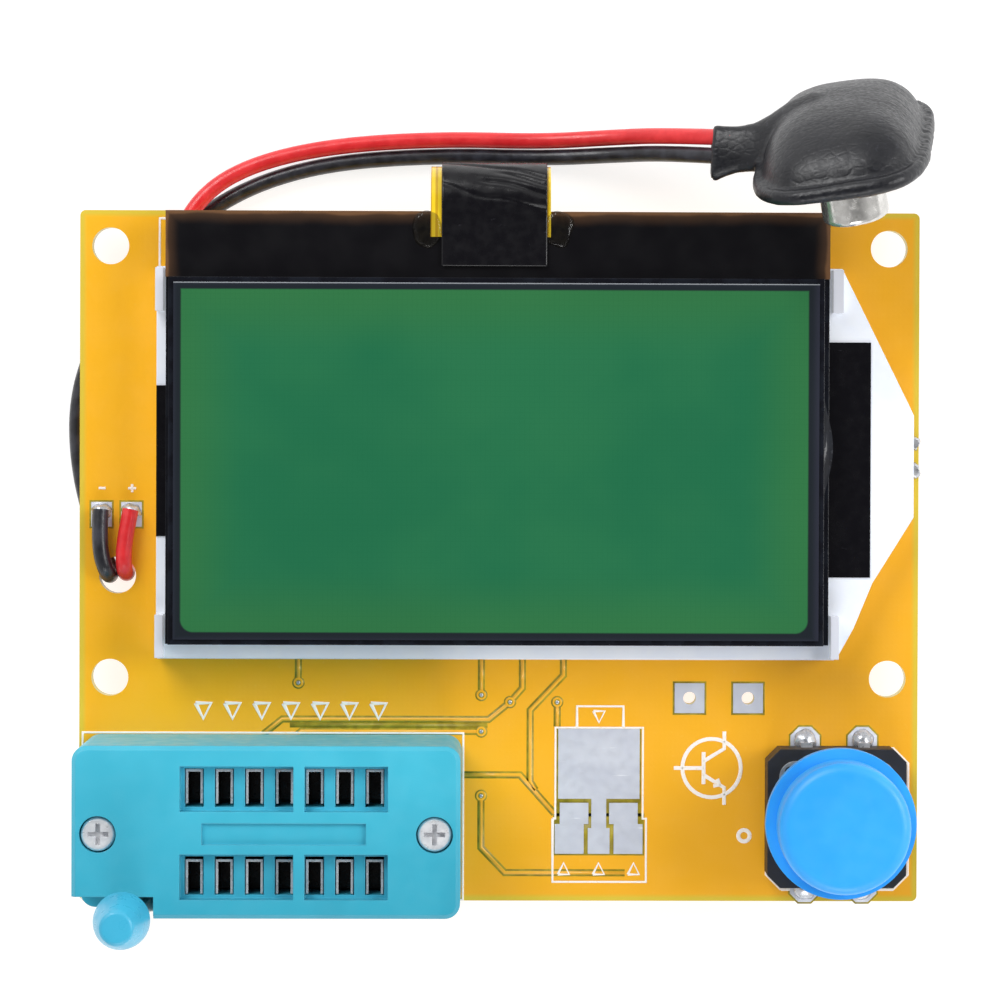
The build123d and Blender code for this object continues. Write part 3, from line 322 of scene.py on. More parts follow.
def metal(name, main, other, roughness, grain=(1, 1, 1), metallic=1.0, depth=0.012):
    """Bare metal with a drifting tone, fine scratches along one axis and rounded edges."""
    skin = Finish(name, roughness, metallic).worn_edges(0.06)
    skin.color(skin.mix(skin.patches(0.9, 4.0, 0.35, 0.68), main, other))
    skin.rough(skin.ramp(skin.noise(0.5, 5.0, grain), 0.3, 0.72, roughness - 0.08, roughness + 0.14))
    return skin.bump(skin.noise(0.22, 4.0, grain), depth, 0.7).material


# --- Materials ---
HALF_LENGTH = (BOARD_HIGH.x - BOARD_LOW.x) / 2
HALF_WIDTH = (BOARD_HIGH.y - BOARD_LOW.y) / 2
# the two ends of the mask's painted light gradient
MASK_PAINTED_LIGHT, MASK_PAINTED_SHADE = tint(254, 186, 34), tint(250, 180, 40)
MASK_RIM = tint(226, 196, 62)
LAMINATE = tint(206, 196, 70)


def solder_mask(name, with_rim=True):
    """Yellow mask over copper with a painted light gradient, paler at the far left and darker towards the
    front right, greener where the copper stops at the rim.
    """
    skin = Finish(name, 0.34, Coat_Weight=0.25, Coat_Roughness=0.18)
    # a painted light gradient, lighter at the back left and darker at the front right, with random mottling
    painted_light_and_mottling = skin.less(skin.times(skin.axis("Y"), 6.0), skin.times(skin.axis("X"), 8.0))
    painted_light_and_mottling = skin.math("ADD", painted_light_and_mottling, skin.times(skin.noise(14.0, 3.0), 0.45))
    color = skin.mix(skin.ramp(painted_light_and_mottling, -0.15, 0.6), MASK_PAINTED_SHADE, MASK_PAINTED_LIGHT)
    specks = skin.patches(0.35, 3.0, 0.62, 0.8)
    color = skin.mix(skin.times(specks, 0.25), color, tint(255, 200, 90))
    if with_rim:
        from_edges = []
        for letter, middle, half in (("X", BOARD_CENTRE.x, HALF_LENGTH), ("Y", BOARD_CENTRE.y, HALF_WIDTH)):
            off_middle = skin.math("ABSOLUTE", skin.less(skin.axis(letter), middle))
            from_edges.append(skin.less(half, off_middle))
        nearest = skin.least(*from_edges)
        color = skin.mix(skin.ramp(nearest, 0.0002, 0.0007, 1.0, 0.0), color, MASK_RIM)
        layers = skin.noise(0.3, 3.0, (0.7, 0.7, 5.0))
        edge = skin.mix(skin.ramp(layers, 0.35, 0.65), LAMINATE, tint(190, 176, 60))
        color = skin.mix(skin.upright(0.3, 0.7), color, edge)
    skin.color(color)
    skin.rough_patches(2.5, 4.0, 0.28, 0.42)
    skin.bump(skin.times(skin.bands("X", 700.0), skin.bands("Y", 620.0)), 0.006, 0.5)
    return skin.grain(1.2, 3.0, 0.012, 0.5).material


def gap_mask():
    """The mask over bare laminate, where the copper is etched away beside a track."""
    skin = Finish("mask_gap", 0.4)
    skin.color(skin.mix(skin.patches(0.8, 3.0), tint(150, 133, 20), tint(178, 158, 34)))
    return skin.grain(0.2, 2.0, 0.01, 0.6).material


def white_ink():
    """Printed legend, a little thin in places."""
    skin = Finish("white_ink", 0.55)
    thin = skin.patches(0.3, 4.0, 0.3, 0.42, 1.0, 0.0)
    skin.color(skin.mix(skin.times(thin, 0.5), tint(255, 246, 236), tint(250, 222, 180)))
    return skin.grain(0.12, 3.0, 0.01, 0.8).material


def tinned_pad():
    """Satin tin on a bare pad, with thin scratches where probes have touched it."""
    skin = Finish("tinned_pad", 0.5, 0.25).worn_edges(0.05)
    cloudy = skin.patches(2.4, 4.0, 0.3, 0.7)
    color = skin.mix(cloudy, tint(205, 208, 219), tint(213, 216, 225))
    scratch = skin.ramp(skin.noise(0.7, 5.0, (0.2, 1.8, 1.0)), 0.68, 0.74)
    skin.color(skin.mix(skin.times(scratch, 0.7), color, tint(245, 246, 250)))
    skin.rough_patches(0.8, 4.0, 0.42, 0.6)
    skin.grain(0.25, 3.0, 0.006, 0.6)
    return skin.bump(scratch, 0.015, 0.5).material


def light_guide():
    """Milky acrylic with a faint painted glow, and painted shade that makes the raised clips greyer."""
    # the emission is a faint painted glow
    skin = Finish("light_guide", 0.2, Coat_Weight=0.3, Emission_Color=(0.93, 0.96, 1.0, 1.0),
                  Emission_Strength=0.16)
    skin.worn_edges(0.1)
    clip_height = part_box("lcd_rear_polarizer")[0].z + 0.0003
    # painted shade greys the raised clips
    raised = skin.ramp(skin.axis("Z"), clip_height, clip_height + 0.0004)
    haze = skin.patches(3.0, 3.0, 0.3, 0.7)
    color = skin.mix(haze, tint(230, 236, 248), tint(240, 244, 252))
    skin.color(skin.mix(raised, color, tint(200, 202, 212)))
    return skin.grain(0.7, 3.0, 0.02, 0.5).material


# How far the green view area stays inside the film at the left, right, front and back, and the
# radius of its front corners.
VIEW_INSETS = (0.62, 0.92, 0.63, 0.58)
VIEW_CORNER = 1.1


def display_film():
    """The polarizer: a green view area with a faint grid of picture cells, inside a dark border."""
    low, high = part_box("lcd_front_polarizer")
    skin = Finish("display_film", 0.16, Coat_Weight=0.2, Coat_Roughness=0.08)
    left, right, front, back = (inset * MM for inset in VIEW_INSETS)
    x, y = skin.axis("X"), skin.axis("Y")
    distances = [
        skin.less(x, low.x + left),
        skin.less(high.x - right, x),
        skin.less(y, low.y + front),
        skin.less(high.y - back, y),
    ]
    nearest = skin.least(*distances)
    from_side = skin.least(distances[0], distances[1])
    corner_x = skin.math("MAXIMUM", skin.less(VIEW_CORNER * MM, from_side), 0.0)
    corner_y = skin.math("MAXIMUM", skin.less(VIEW_CORNER * MM, distances[2]), 0.0)
    squares = skin.math("ADD", skin.math("POWER", corner_x, 2.0), skin.math("POWER", corner_y, 2.0))
    rounded_edge = skin.least(nearest, skin.less(VIEW_CORNER * MM, skin.math("SQRT", squares)))
    inside = skin.ramp(rounded_edge, -0.00006, 0.0001)
    clouds = skin.patches(16.0, 3.0)
    green = skin.mix(clouds, tint(30, 106, 70), tint(38, 112, 72))
    green = skin.mix(skin.ramp(nearest, 0.0, 0.006, 0.75, 0.0), green, tint(50, 114, 64))
    columns = skin.math("PINGPONG", x, 0.00021)
    rows = skin.math("PINGPONG", y, 0.00023)
    cells = skin.least(columns, rows)
    grid = skin.ramp(cells, 0.00001, 0.00004, 0.10, 0.0)
    green = skin.mix(grid, green, tint(20, 84, 52))
    border = skin.mix(skin.ramp(nearest, -0.0009, -0.0002), tint(44, 46, 58), tint(30, 36, 42))
    rim = skin.ramp(skin.less(high.y, y), 0.00004, 0.00012, 1.0, 0.0)
    border = skin.mix(rim, border, tint(150, 154, 160))
    skin.color(skin.mix(inside, border, green))
    skin.rough_patches(5.0, 3.0, 0.13, 0.22)
    return skin.grain(9.0, 1.0, 0.02, 0.3).material


def display_glass():
    """Glass over the display's dark layers, with bright specks along its cut edges, partly chipped glass
    and partly painted highlights.
    """
    skin = Finish("display_glass", 0.12, Specular_IOR_Level=0.4).worn_edges(0.1)
    base = skin.mix(skin.patches(2.0, 3.0, 0.4, 0.6), tint(18, 19, 26), tint(26, 29, 37))
    # bright specks on the upright cut edges: partly chipped glass, partly painted highlights
    chips_and_glints = skin.patches(0.45, 4.0, 0.55, 0.66)
    skin.color(skin.mix(skin.times(skin.upright(0.35, 0.75), chips_and_glints), base, tint(196, 202, 212)))
    return skin.grain(0.3, 3.0, 0.02, 0.4).material


def ledge_tape():
    """Black tape on the glass ledge, where light from behind turns its rim brown."""
    low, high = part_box("lcd_ledge_tape")
    skin = Finish("ledge_tape", 0.3, Specular_IOR_Level=0.3)
    from_back = skin.less(high.y, skin.axis("Y"))
    from_left = skin.less(skin.axis("X"), low.x)
    from_right = skin.less(high.x, skin.axis("X"))
    wobble = skin.times(skin.less(skin.noise(5.0, 3.0), 0.5), 0.0008)
    nearest = skin.least(from_back, skin.least(from_left, from_right))
    nearest = skin.math("ADD", nearest, wobble)
    color = skin.mix(skin.ramp(nearest, 0.0, 0.0014), tint(70, 50, 36), tint(10, 9, 13))
    skin.color(skin.mix(skin.ramp(nearest, 0.0001, 0.0004), tint(112, 80, 54), color))
    skin.rough_patches(3.0, 3.0, 0.28, 0.36)
    return skin.grain(0.8, 4.0, 0.004, 0.5).material


def black_film(name, roughness=0.2):
    """Glossy black tape with dust and fine scuffs."""
    skin = Finish(name, roughness, Specular_IOR_Level=0.4)
    scuff = skin.ramp(skin.noise(0.8, 6.0, (0.6, 1.5, 1.0)), 0.7, 0.78)
    skin.color(skin.mix(skin.times(scuff, 0.22), tint(12, 11, 16), tint(110, 110, 120)))
    skin.rough_patches(0.9, 5.0, roughness - 0.04, roughness + 0.08)
    return skin.grain(1.6, 3.0, 0.01, 0.6).material


def kapton():
    """Amber film over the flat cable's tracks."""
    skin = Finish("kapton", 0.2, Coat_Weight=0.5, Coat_Roughness=0.08)
    tracks = skin.math("PINGPONG", skin.axis("X"), 0.00025)
    stripes = skin.ramp(tracks, 0.00008, 0.00014)
    skin.color(skin.mix(stripes, tint(214, 168, 30), tint(250, 214, 44)))
    return skin.grain(1.0, 3.0, 0.02, 0.5).material


def leather_vinyl():
    """Soft black vinyl with a sheen and a fine leather grain, wrinkled on its far side."""
    skin = Finish("leather_vinyl", 0.42, Specular_IOR_Level=0.45, Coat_Weight=0.12, Coat_Roughness=0.25)
    grain = skin.ramp(skin.cells(0.75, (0.7, 1.2, 1.2)), 0.0, 0.25)
    fine = skin.noise(0.3, 4.0)
    pores = skin.patches(0.35, 2.0, 0.62, 0.72)
    color = skin.mix(skin.noise(3.0, 3.0), tint(11, 12, 17), tint(20, 21, 29))
    skin.color(skin.mix(skin.times(pores, 0.2), color, tint(70, 72, 84)))
    skin.rough(skin.ramp(fine, 0.3, 0.7, 0.34, 0.5))
    skin.bump(grain, 0.03, 0.45)
    skin.bump(fine, 0.03, 0.45)
    far_side = skin.ramp(skin.axis("X"), BOARD_CENTRE.x + 0.030, BOARD_CENTRE.x + 0.035)
    wrinkles = skin.times(skin.noise(0.8, 3.0, (0.5, 0.5, 2.0)), far_side)
    return skin.bump(wrinkles, 0.1, 0.5).material


def wire_skin(name, main, other):
    """Soft wire insulation with a slight sheen and scuffs."""
    skin = Finish(name, 0.34, Coat_Weight=0.2, Coat_Roughness=0.2)
    skin.color(skin.mix(skin.patches(1.3, 4.0, 0.35, 0.7), main, other))
    skin.rough_patches(0.7, 4.0, 0.28, 0.46)
    return skin.grain(0.35, 4.0, 0.03, 0.6).material


def ceramic(name, main, other):
    """Fired ceramic with tinned ends left to the tone of its body."""
    skin = Finish(name, 0.55).worn_edges(0.05)
    skin.color(skin.mix(skin.patches(0.3, 4.0), main, other))
    return skin.grain(0.1, 3.0, 0.01, 0.6).material


def pressed_board():
    """Brown fibre board with flecks."""
    skin = Finish("pressed_board", 0.7)
    flecks = skin.ramp(skin.noise(0.4, 5.0, (1, 3, 1)), 0.35, 0.65)
    skin.color(skin.mix(flecks, tint(92, 66, 48), tint(120, 90, 64)))
    return skin.grain(0.2, 4.0, 0.03, 0.7).material


def clear_glue():
    """A clear drop of sealing glue."""
    skin = Finish("clear_glue", 0.12, Alpha=0.3)
    skin.color(skin.mix(skin.patches(0.6, 3.0, 0.3, 0.7), tint(26, 24, 22), tint(48, 44, 36)))
    return skin.grain(0.5, 2.0, 0.03, 0.5).material


LOOKS = {
    "mask": solder_mask("solder_mask"),
    "copper": solder_mask("mask_over_track", with_rim=False),
    "gap": gap_mask(),
    "ink": white_ink(),
    "pad": tinned_pad(),
    "solder": metal("solder", tint(190, 194, 200), tint(224, 226, 232), 0.26, metallic=0.7, depth=0.03),
    "tin": metal("tin", tint(186, 188, 192), tint(214, 214, 216), 0.32, metallic=0.7),
    "steel": metal("steel", tint(190, 190, 188), tint(220, 220, 218), 0.28, (1, 0.2, 1)),
    "screw": metal("screw", tint(222, 224, 228), tint(244, 244, 246), 0.34, (0.6, 1, 1), 0.35, 0.02),
    "plate": metal("plate", tint(176, 178, 182), tint(206, 206, 208), 0.36, (0.15, 1, 1), 0.6),
    "nickel": metal("nickel", tint(206, 204, 200), tint(228, 226, 222), 0.14, metallic=0.85, depth=0.004),
    "contact": contact_metal(),
    "guide": light_guide(),
    "film": display_film(),
    "glass": display_glass(),
    "ledge": ledge_tape(),
    "tape": black_film("black_film"),
    "flex_tape": black_film("flex_tape_film", 0.27),
    "kapton": kapton(),
    "white": plastic("white_film", tint(240, 240, 240), tint(248, 248, 246), 0.5),
    "lamp": plastic("lamp_resin", tint(240, 238, 200), tint(250, 248, 226), 0.4),
    "silicon": plastic("silicon", tint(50, 50, 60), tint(60, 62, 74), 0.15),
    "socket": socket_plastic(),
    "slider": plastic("slider_plastic", tint(30, 105, 125), tint(36, 115, 136), 0.45),
    "knob": plastic("knob_plastic", tint(58, 168, 204), tint(66, 178, 214), 0.3),
    "cap": plastic("cap_plastic", tint(48, 166, 250), tint(56, 174, 255), 0.38, spots=0.3),
    "black": plastic("black_plastic", tint(30, 31, 36), tint(40, 41, 47), 0.5),
    "ceramic_black": ceramic("ceramic_black", tint(30, 30, 32), tint(48, 48, 50)),
    "ceramic_tan": ceramic("ceramic_tan", tint(158, 128, 94), tint(182, 152, 116)),
    "vinyl": leather_vinyl(),
    "board": pressed_board(),
    "red": wire_skin("wire_red", tint(222, 36, 42), tint(238, 52, 56)),
    "black_wire": wire_skin("wire_black", tint(28, 28, 34), tint(52, 53, 62)),
    "glue": clear_glue(),
}

NODE_LOOKS = {
    "mask": ["circuit_board"],
    "pad": ["smd_test_pads", "square_test_pads"],
    "tin": ["backlight_leads", "switch_terminals", "microcontroller_leads"],
    "solder": ["zif_solder_joints", "switch_solder_joints", "wire_solder_joints"],
    "steel": ["zif_lever", "switch_dome", "crystal"],
    "screw": ["zif_screws"],
    "plate": ["switch_cover_plate"],
    "nickel": ["snap_rivets", "snap_stud", "snap_socket"],
    "contact": ["zif_contacts"],
    "guide": ["backlight_guide"],
    "film": ["lcd_front_polarizer", "lcd_rear_polarizer"],
    "glass": ["lcd_rear_glass", "lcd_front_glass"],
    "ledge": ["lcd_ledge_tape"],
    "tape": ["lcd_flex_tape", "lcd_left_tape", "lcd_right_tape"],
    "kapton": ["lcd_flex_cable"],
    "white": ["backlight_reflector"],
    "lamp": ["backlight_led"],
    "silicon": ["lcd_driver_chip"],
    "socket": ["zif_base", "zif_cover"],
    "slider": ["zif_slider"],
    "knob": ["zif_lever_knob"],
    "cap": ["button_cap"],
    "black": ["switch_housing", "switch_plunger", "microcontroller", "voltage_regulator",
              "voltage_reference", "transistors"],
    "ceramic_black": ["chip_resistors"],
    "ceramic_tan": ["chip_capacitors"],
    "vinyl": ["snap_cover"],
    "board": ["snap_board"],
    "red": ["battery_wire_red"],
    "black_wire": ["battery_wire_black"],
}


def dress(piece, look):
    """Give a piece one material."""
    piece.data.materials.clear()
    piece.data.materials.append(LOOKS[look])


for look, names in NODE_LOOKS.items():
    for name in names:
        dress(NODES[name], look)


# --- Making pieces ---
def settle(piece, look, replaces=()):
    """Give a piece its material, and let it ride on the tester."""
    dress(piece, look)
    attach(piece, "tester")
    if replaces:
        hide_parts(*replaces)
    return piece


def mesh_piece(name, points, faces):
    """A mesh object from points in the frame's metres."""
    mesh = bpy.data.meshes.new(name)
    mesh.from_pydata([tuple(point) for point in points], [], faces)
    mesh.validate()
    mesh.update()
    for polygon in mesh.polygons:
        polygon.use_smooth = True
    piece = bpy.data.objects.new(name, mesh)
    bpy.context.scene.collection.objects.link(piece)
    return piece


def join(name, parts):
    """One list of points and one of faces from several (points, faces) pairs, as one mesh."""
    points, faces = [], []
    for part_points, part_faces in parts:
        faces += [[index + len(points) for index in face] for face in part_faces]
        points += part_points
    return mesh_piece(name, points, faces)


def ring_faces(rings, count):
    """The four-sided faces between rings of count points each."""
    faces = []
    for ring in range(rings - 1):
        low, high = ring * count, (ring + 1) * count
        for step in range(count):
            after = (step + 1) % count
            faces.append([low + step, low + after, high + after, high + step])
    return faces


def lathe(profile, place, steps=40, wobble=0.0, seed=0.0, squash=(1.0, 1.0)):
    """A turned shape: (radius, height) pairs from the outer foot to the top, closed at the middle."""
    x, y, z = place
    points = []
    for ring, (radius, height) in enumerate(profile):
        for step in range(steps):
            angle = 2 * math.pi * step / steps
            spot = Vector((math.cos(angle) * 1.3 + seed, math.sin(angle) * 1.3, ring * 0.4))
            swell = 1 + wobble * noise.noise(spot)
            points.append(at(
                x + radius * swell * squash[0] * math.cos(angle),
                y + radius * swell * squash[1] * math.sin(angle),
                z + height,
            ))
    top = [(len(profile) - 1) * steps + step for step in range(steps)]
    return points, ring_faces(len(profile), steps) + [top, list(reversed(range(steps)))]


def slab(outline, bottom, top, chamfer=0.0):
    """A flat plate over an outline that runs anticlockwise, with its top edge drawn in."""
    count = len(outline)
    middle_x = sum(x for x, _ in outline) / count
    middle_y = sum(y for _, y in outline) / count
    points = [at(x, y, bottom) for x, y in outline]
    points += [at(x, y, top - chamfer) for x, y in outline]
    if chamfer:
        for x, y in outline:
            away = Vector((x - middle_x, y - middle_y))
            away *= max(0.0, 1 - chamfer / max(away.length, chamfer))
            points.append(at(middle_x + away.x, middle_y + away.y, top))
    levels = len(points) // count
    cap = [(levels - 1) * count + index for index in range(count)]
    return points, [list(reversed(range(count)))] + ring_faces(levels, count) + [cap]


def ribbon(line, width, bottom, top):
    """A flat strip along a line of board points, with mitred corners."""
    left, right = [], []
    for index, (x, y) in enumerate(line):
        here = Vector((x, y))
        ahead = (Vector(line[index + 1]) - here).normalized() if index + 1 < len(line) else None
        behind = (here - Vector(line[index - 1])).normalized() if index else None
        run = ((ahead or behind) + (behind or ahead)).normalized()
        across = Vector((-run.y, run.x)) * width / 2 / max(0.4, run.dot(ahead or behind))
        left.append(here + across)
        right.append(here - across)
    outline = [tuple(point) for point in right] + [tuple(point) for point in reversed(left)]
    count = len(line)
    points = [at(x, y, bottom) for x, y in outline] + [at(x, y, top) for x, y in outline]
    total = 2 * count
    faces = ring_faces(2, total)
    for index in range(count - 1):
        faces.append([total + index, total + index + 1, 2 * total - 2 - index, 2 * total - 1 - index])
        faces.append([index + 1, index, total - 1 - index, total - 2 - index])
    return points, faces


def strokes(name, lines, width, rise, base):
    """Raised strokes with round ends along lines of board points."""
    curve = bpy.data.curves.new(name + "_lines", "CURVE")
    curve.dimensions = "3D"
    curve.bevel_depth = width / 2 * MM
    curve.bevel_resolution = 3
    curve.use_fill_caps = True
    for line in lines:
        spline = curve.splines.new("POLY")
        spline.points.add(len(line) - 1)
        for point, (x, y) in zip(spline.points, line):
            point.co = (*at(x, y, base), 1.0)
    holder = bpy.data.objects.new(name + "_lines", curve)
    mesh = bpy.data.meshes.new_from_object(holder)
    bpy.data.objects.remove(holder)
    level = base * MM
    for vertex in mesh.vertices:
        vertex.co.z = level + (vertex.co.z - level) * 2 * rise / width
    for polygon in mesh.polygons:
        polygon.use_smooth = False
    piece = bpy.data.objects.new(name, mesh)
    bpy.context.scene.collection.objects.link(piece)
    return piece


def arc(x, y, radius, start, end, steps=10):
    """Points on an arc from one angle to another, in degrees."""
    angles = [math.radians(start + (end - start) * step / steps) for step in range(steps + 1)]
    return [(x + radius * math.cos(angle), y + radius * math.sin(angle)) for angle in angles]


def pointer(x, y, size, way):
    """A small triangle that points to the back for way 1 and to the front for way -1."""
    tail, tip = y - way * size / 2, y + way * size / 2
    return [(x - size / 2, tail), (x, tip), (x + size / 2, tail), (x - size / 2, tail)]


def box_line(left, right, front, back, cut=0.0):
    """A closed rectangular line, with its corners cut off by an amount."""
    if not cut:
        return [(left, front), (right, front), (right, back), (left, back), (left, front)]
    return [
        (left + cut, front), (right - cut, front), (right, front + cut), (right, back - cut),
        (right - cut, back), (left + cut, back), (left, back - cut), (left, front + cut),
        (left + cut, front),
    ]


# --- Print on the board ---
INK_RISE = 0.03
INK_BASE = BOARD_TOP + 0.022          # clear of the tracks, which pass under the print
PAD_AXIS = 8.72
PIN_PITCH, PAD_PITCH = 2.54, 3.05
SOCKET_X = sum(corner.x for corner in node_box("zif_contacts")) / 2

# Plain pointers stand at the contacts and pads where the real board has digits and letters.
pin_marks = [pointer(SOCKET_X + PIN_PITCH * pin, -13.5, 1.35, -1) for pin in range(-3, 4)]
pin_marks.append(arc(21.4, -24.3, 0.5, 0, 360, 16))
settle(strokes("printed_pin_marks", pin_marks, 0.36, INK_RISE, INK_BASE), "ink")

MINUS_X, PLUS_X, SIGN_Y = -34.55, -31.95, 5.85
pad_marks = [pointer(PAD_AXIS + PAD_PITCH * pad, -27.2, 1.0, 1) for pad in (-1, 0, 1)]
pad_marks.append(pointer(PAD_AXIS, -13.95, 1.0, -1))
pad_marks.append([(MINUS_X - 0.3, SIGN_Y), (MINUS_X + 0.3, SIGN_Y)])
pad_marks.append([(PLUS_X - 0.35, SIGN_Y), (PLUS_X + 0.35, SIGN_Y)])
pad_marks.append([(PLUS_X, SIGN_Y - 0.35), (PLUS_X, SIGN_Y + 0.35)])
settle(strokes("printed_pad_marks", pad_marks, 0.22, INK_RISE, INK_BASE), "ink")

outlines = [
    [(6.8, -14.9), (6.8, -13.03), (10.84, -13.03), (10.84, -14.9)],
    [(4.7, -22.83), (4.93, -22.83), (4.93, -14.9), (12.55, -14.9), (12.55, -22.83), (12.85, -22.83),
     (12.85, -28.35), (4.7, -28.35), (4.7, -22.83)],
    box_line(23.35, 35.7, -28.98, -16.66, 1.3),
    box_line(-36.2, -3.1, -29.95, -15.4),
    [(-28.8, 29.3), (-29.6, 29.3), (-29.6, 15.5)],
    [(-29.75, -8.85), (29.2, -8.85)],
]
settle(strokes("printed_outlines", outlines, 0.25, INK_RISE, INK_BASE), "ink")

# a transistor's circuit symbol
SYMBOL_X, SYMBOL_Y, SYMBOL_R = 18.55, -18.4, 2.55
SYMBOL_LINES = [
    [(-3.3, 0.0), (-0.7, 0.0)],
    [(-0.7, -1.4), (-0.7, 1.4)],
    [(-0.7, 0.6), (1.1, 1.7), (1.1, 3.2)],
    [(-0.7, -0.6), (1.1, -1.7), (1.1, -3.2)],
    [(0.15, -1.55), (0.75, -1.48), (0.5, -0.95)],
]
symbol = [arc(SYMBOL_X, SYMBOL_Y, SYMBOL_R, 0, 360, 40)]
symbol += [[(SYMBOL_X + x, SYMBOL_Y + y) for x, y in line] for line in SYMBOL_LINES]
settle(strokes("printed_symbol", symbol, 0.34, INK_RISE, INK_BASE), "ink")

# --- Tracks and vias ---
GAP_WIDTH, TRACK_WIDTH = 0.62, 0.28
SINK, GAP_RISE, TRACK_RISE, PAD_RISE = 0.02, 0.012, 0.03, 0.06
GUIDE_FRONT = -8.6
TRACKS = [
    [(-17.47, GUIDE_FRONT), (-17.47, -11.03)],
    [(-1.54, GUIDE_FRONT), (-1.54, -12.07)],
    [(2.03, GUIDE_FRONT), (2.03, -11.46), (0.96, -12.68), (-0.9, -14.2), (-18.86, -14.2), (-20.6, -15.6)],
    [(-1.54, -15.25), (-17.2, -15.25), (-17.6, -15.6)],
    [(-3.2, -19.03), (1.85, -19.03), (4.85, -22.4)],
    [(5.6, GUIDE_FRONT), (5.6, -10.33), (2.72, -13.38), (2.72, -19.6), (3.2, -20.35)],
    [(5.07, -12.68), (5.07, -14.8)],
    [(-1.54, -20.86), (-1.54, -25.39), (0.55, -27.56), (11.0, -27.56)],
]
VIAS = [(-17.47, -11.03), (-1.54, -12.07), (0.96, -12.68), (-1.54, -15.25), (-1.54, -20.86), (5.07, -12.68)]
gaps = [ribbon(line, GAP_WIDTH, BOARD_TOP - SINK, BOARD_TOP + GAP_RISE) for line in TRACKS]
gaps.append(ribbon([(-18.2, -14.73), (-1.0, -14.73)], 0.42, BOARD_TOP - SINK, BOARD_TOP + GAP_RISE * 0.8))
settle(join("track_gaps", gaps), "gap")
copper = [ribbon(line, TRACK_WIDTH, BOARD_TOP - SINK, BOARD_TOP + TRACK_RISE) for line in TRACKS]
settle(join("tracks", copper), "copper")

# Each layer of a via: its piece, look, slot, steps round it and turned profile.
VIA_LAYERS = [
    ("via_gaps", "gap", "circuit_board", 24, [(0.54, -SINK), (0.54, 0.016), (0.3, 0.018)]),
    ("via_rings", "copper", "circuit_board", 24, [(0.42, 0.0), (0.42, 0.036), (0.39, 0.045), (0.3, 0.046)]),
    ("via_lips", "gap", "circuit_board", 20, [(0.26, 0.03), (0.25, 0.055), (0.2, 0.06)]),
    ("via_solder", "solder", "tinned", 16, [(0.17, 0.03), (0.16, 0.07), (0.08, 0.085)]),
]
for name, look, slot, steps, profile in VIA_LAYERS:
    settle(join(name, [lathe(profile, (*via, BOARD_TOP), steps) for via in VIAS]), look)


def gap_plate(left, right, front, back, cut=0.0):
    """A thin plate of bare laminate, which shows as the olive line round a pad."""
    outline = box_line(left, right, front, back, cut)[:-1]
    return slab(outline, BOARD_TOP - SINK, BOARD_TOP + GAP_RISE)


def pad_plate(left, right, front, back, chamfer, cut=0.0):
    """A tinned pad that stands a little above the board."""
    outline = box_line(left, right, front, back, cut)[:-1]
    return slab(outline, BOARD_TOP, BOARD_TOP + PAD_RISE, chamfer)


TEST_PAD_BORDER, SQUARE_BORDER = 0.14, 0.16
TEST_PADS = [(3.55, -22.5, -15.0), (3.83, -25.9, -22.5)]    # half width, front and back of each part
test_pad_gaps = []
for half_width, front, back in TEST_PADS:
    reach = half_width + TEST_PAD_BORDER
    outline = (PAD_AXIS - reach, PAD_AXIS + reach, front - TEST_PAD_BORDER, back + TEST_PAD_BORDER)
    test_pad_gaps.append(gap_plate(*outline))
settle(join("test_pad_gaps", test_pad_gaps), "gap")

square_low, square_high = node_box("square_test_pads")
front, back = square_low.y, square_high.y
SQUARE_SIDE = back - front
square_gaps = []
for left in (square_low.x, square_high.x - SQUARE_SIDE):
    right = left + SQUARE_SIDE
    square_gaps += [
        gap_plate(left - SQUARE_BORDER, right + SQUARE_BORDER, back, back + SQUARE_BORDER),
        gap_plate(left - SQUARE_BORDER, right + SQUARE_BORDER, front - SQUARE_BORDER, front),
        gap_plate(left - SQUARE_BORDER, left, front, back),
        gap_plate(right, right + SQUARE_BORDER, front, back),
    ]
settle(join("square_pad_gaps", square_gaps), "gap")

# --- Pads and solder on the top face ---
switch_low, switch_high = node_box("switch_housing")
SWITCH = (switch_low + switch_high) / 2
LEG_X, LEG_Y = 2.5, 6.38
LEG_PAD, LEG_GAP = (1.28, 0.75), (1.42, 0.83)           # half side and cut corner
LEG_MOUND = [(1.02, 0.05), (0.94, 0.16), (0.76, 0.34), (0.5, 0.55), (0.3, 0.66), (0.12, 0.7)]
leg_pads, leg_solder, leg_gaps = [], [], []
for side_x in (-1, 1):
    for side_y in (-1, 1):
        x, y = SWITCH.x + side_x * LEG_X, SWITCH.y + side_y * LEG_Y
        half, cut = LEG_GAP
        leg_gaps.append(gap_plate(x - half, x + half, y - half, y + half, cut))
        half, cut = LEG_PAD
        leg_pads.append(pad_plate(x - half, x + half, y - half, y + half, 0.03, cut))
        leg_solder.append(lathe(LEG_MOUND, (x, y + side_y * 0.05, BOARD_TOP), 32, 0.18, x))
settle(join("switch_pad_gaps", leg_gaps), "gap")
settle(join("switch_pads", leg_pads), "pad")
settle(join("switch_top_solder", leg_solder), "solder")

BATTERY_PADS = [(-34.6, 3.6), (-32.0, 3.6)]
BATTERY_MOUND = [(0.86, 0.03), (0.82, 0.15), (0.7, 0.4), (0.55, 0.62), (0.35, 0.76), (0.14, 0.8)]
battery_pads, battery_gaps, battery_solder = [], [], []
for x, y in BATTERY_PADS:
    battery_gaps.append(gap_plate(x - 1.05, x + 1.05, y - 1.25, y + 1.2))
    battery_pads.append(pad_plate(x - 0.9, x + 0.9, y - 1.1, y + 1.05, 0.02))
    battery_solder.append(lathe(BATTERY_MOUND, (x, y + 0.25, BOARD_TOP), 36, 0.3, x, (1.0, 0.85)))
settle(join("battery_pad_gaps", battery_gaps), "gap")
settle(join("battery_pads", battery_pads), "pad")
settle(join("battery_solder", battery_solder), "solder", replaces=["wire_solder_joints"])
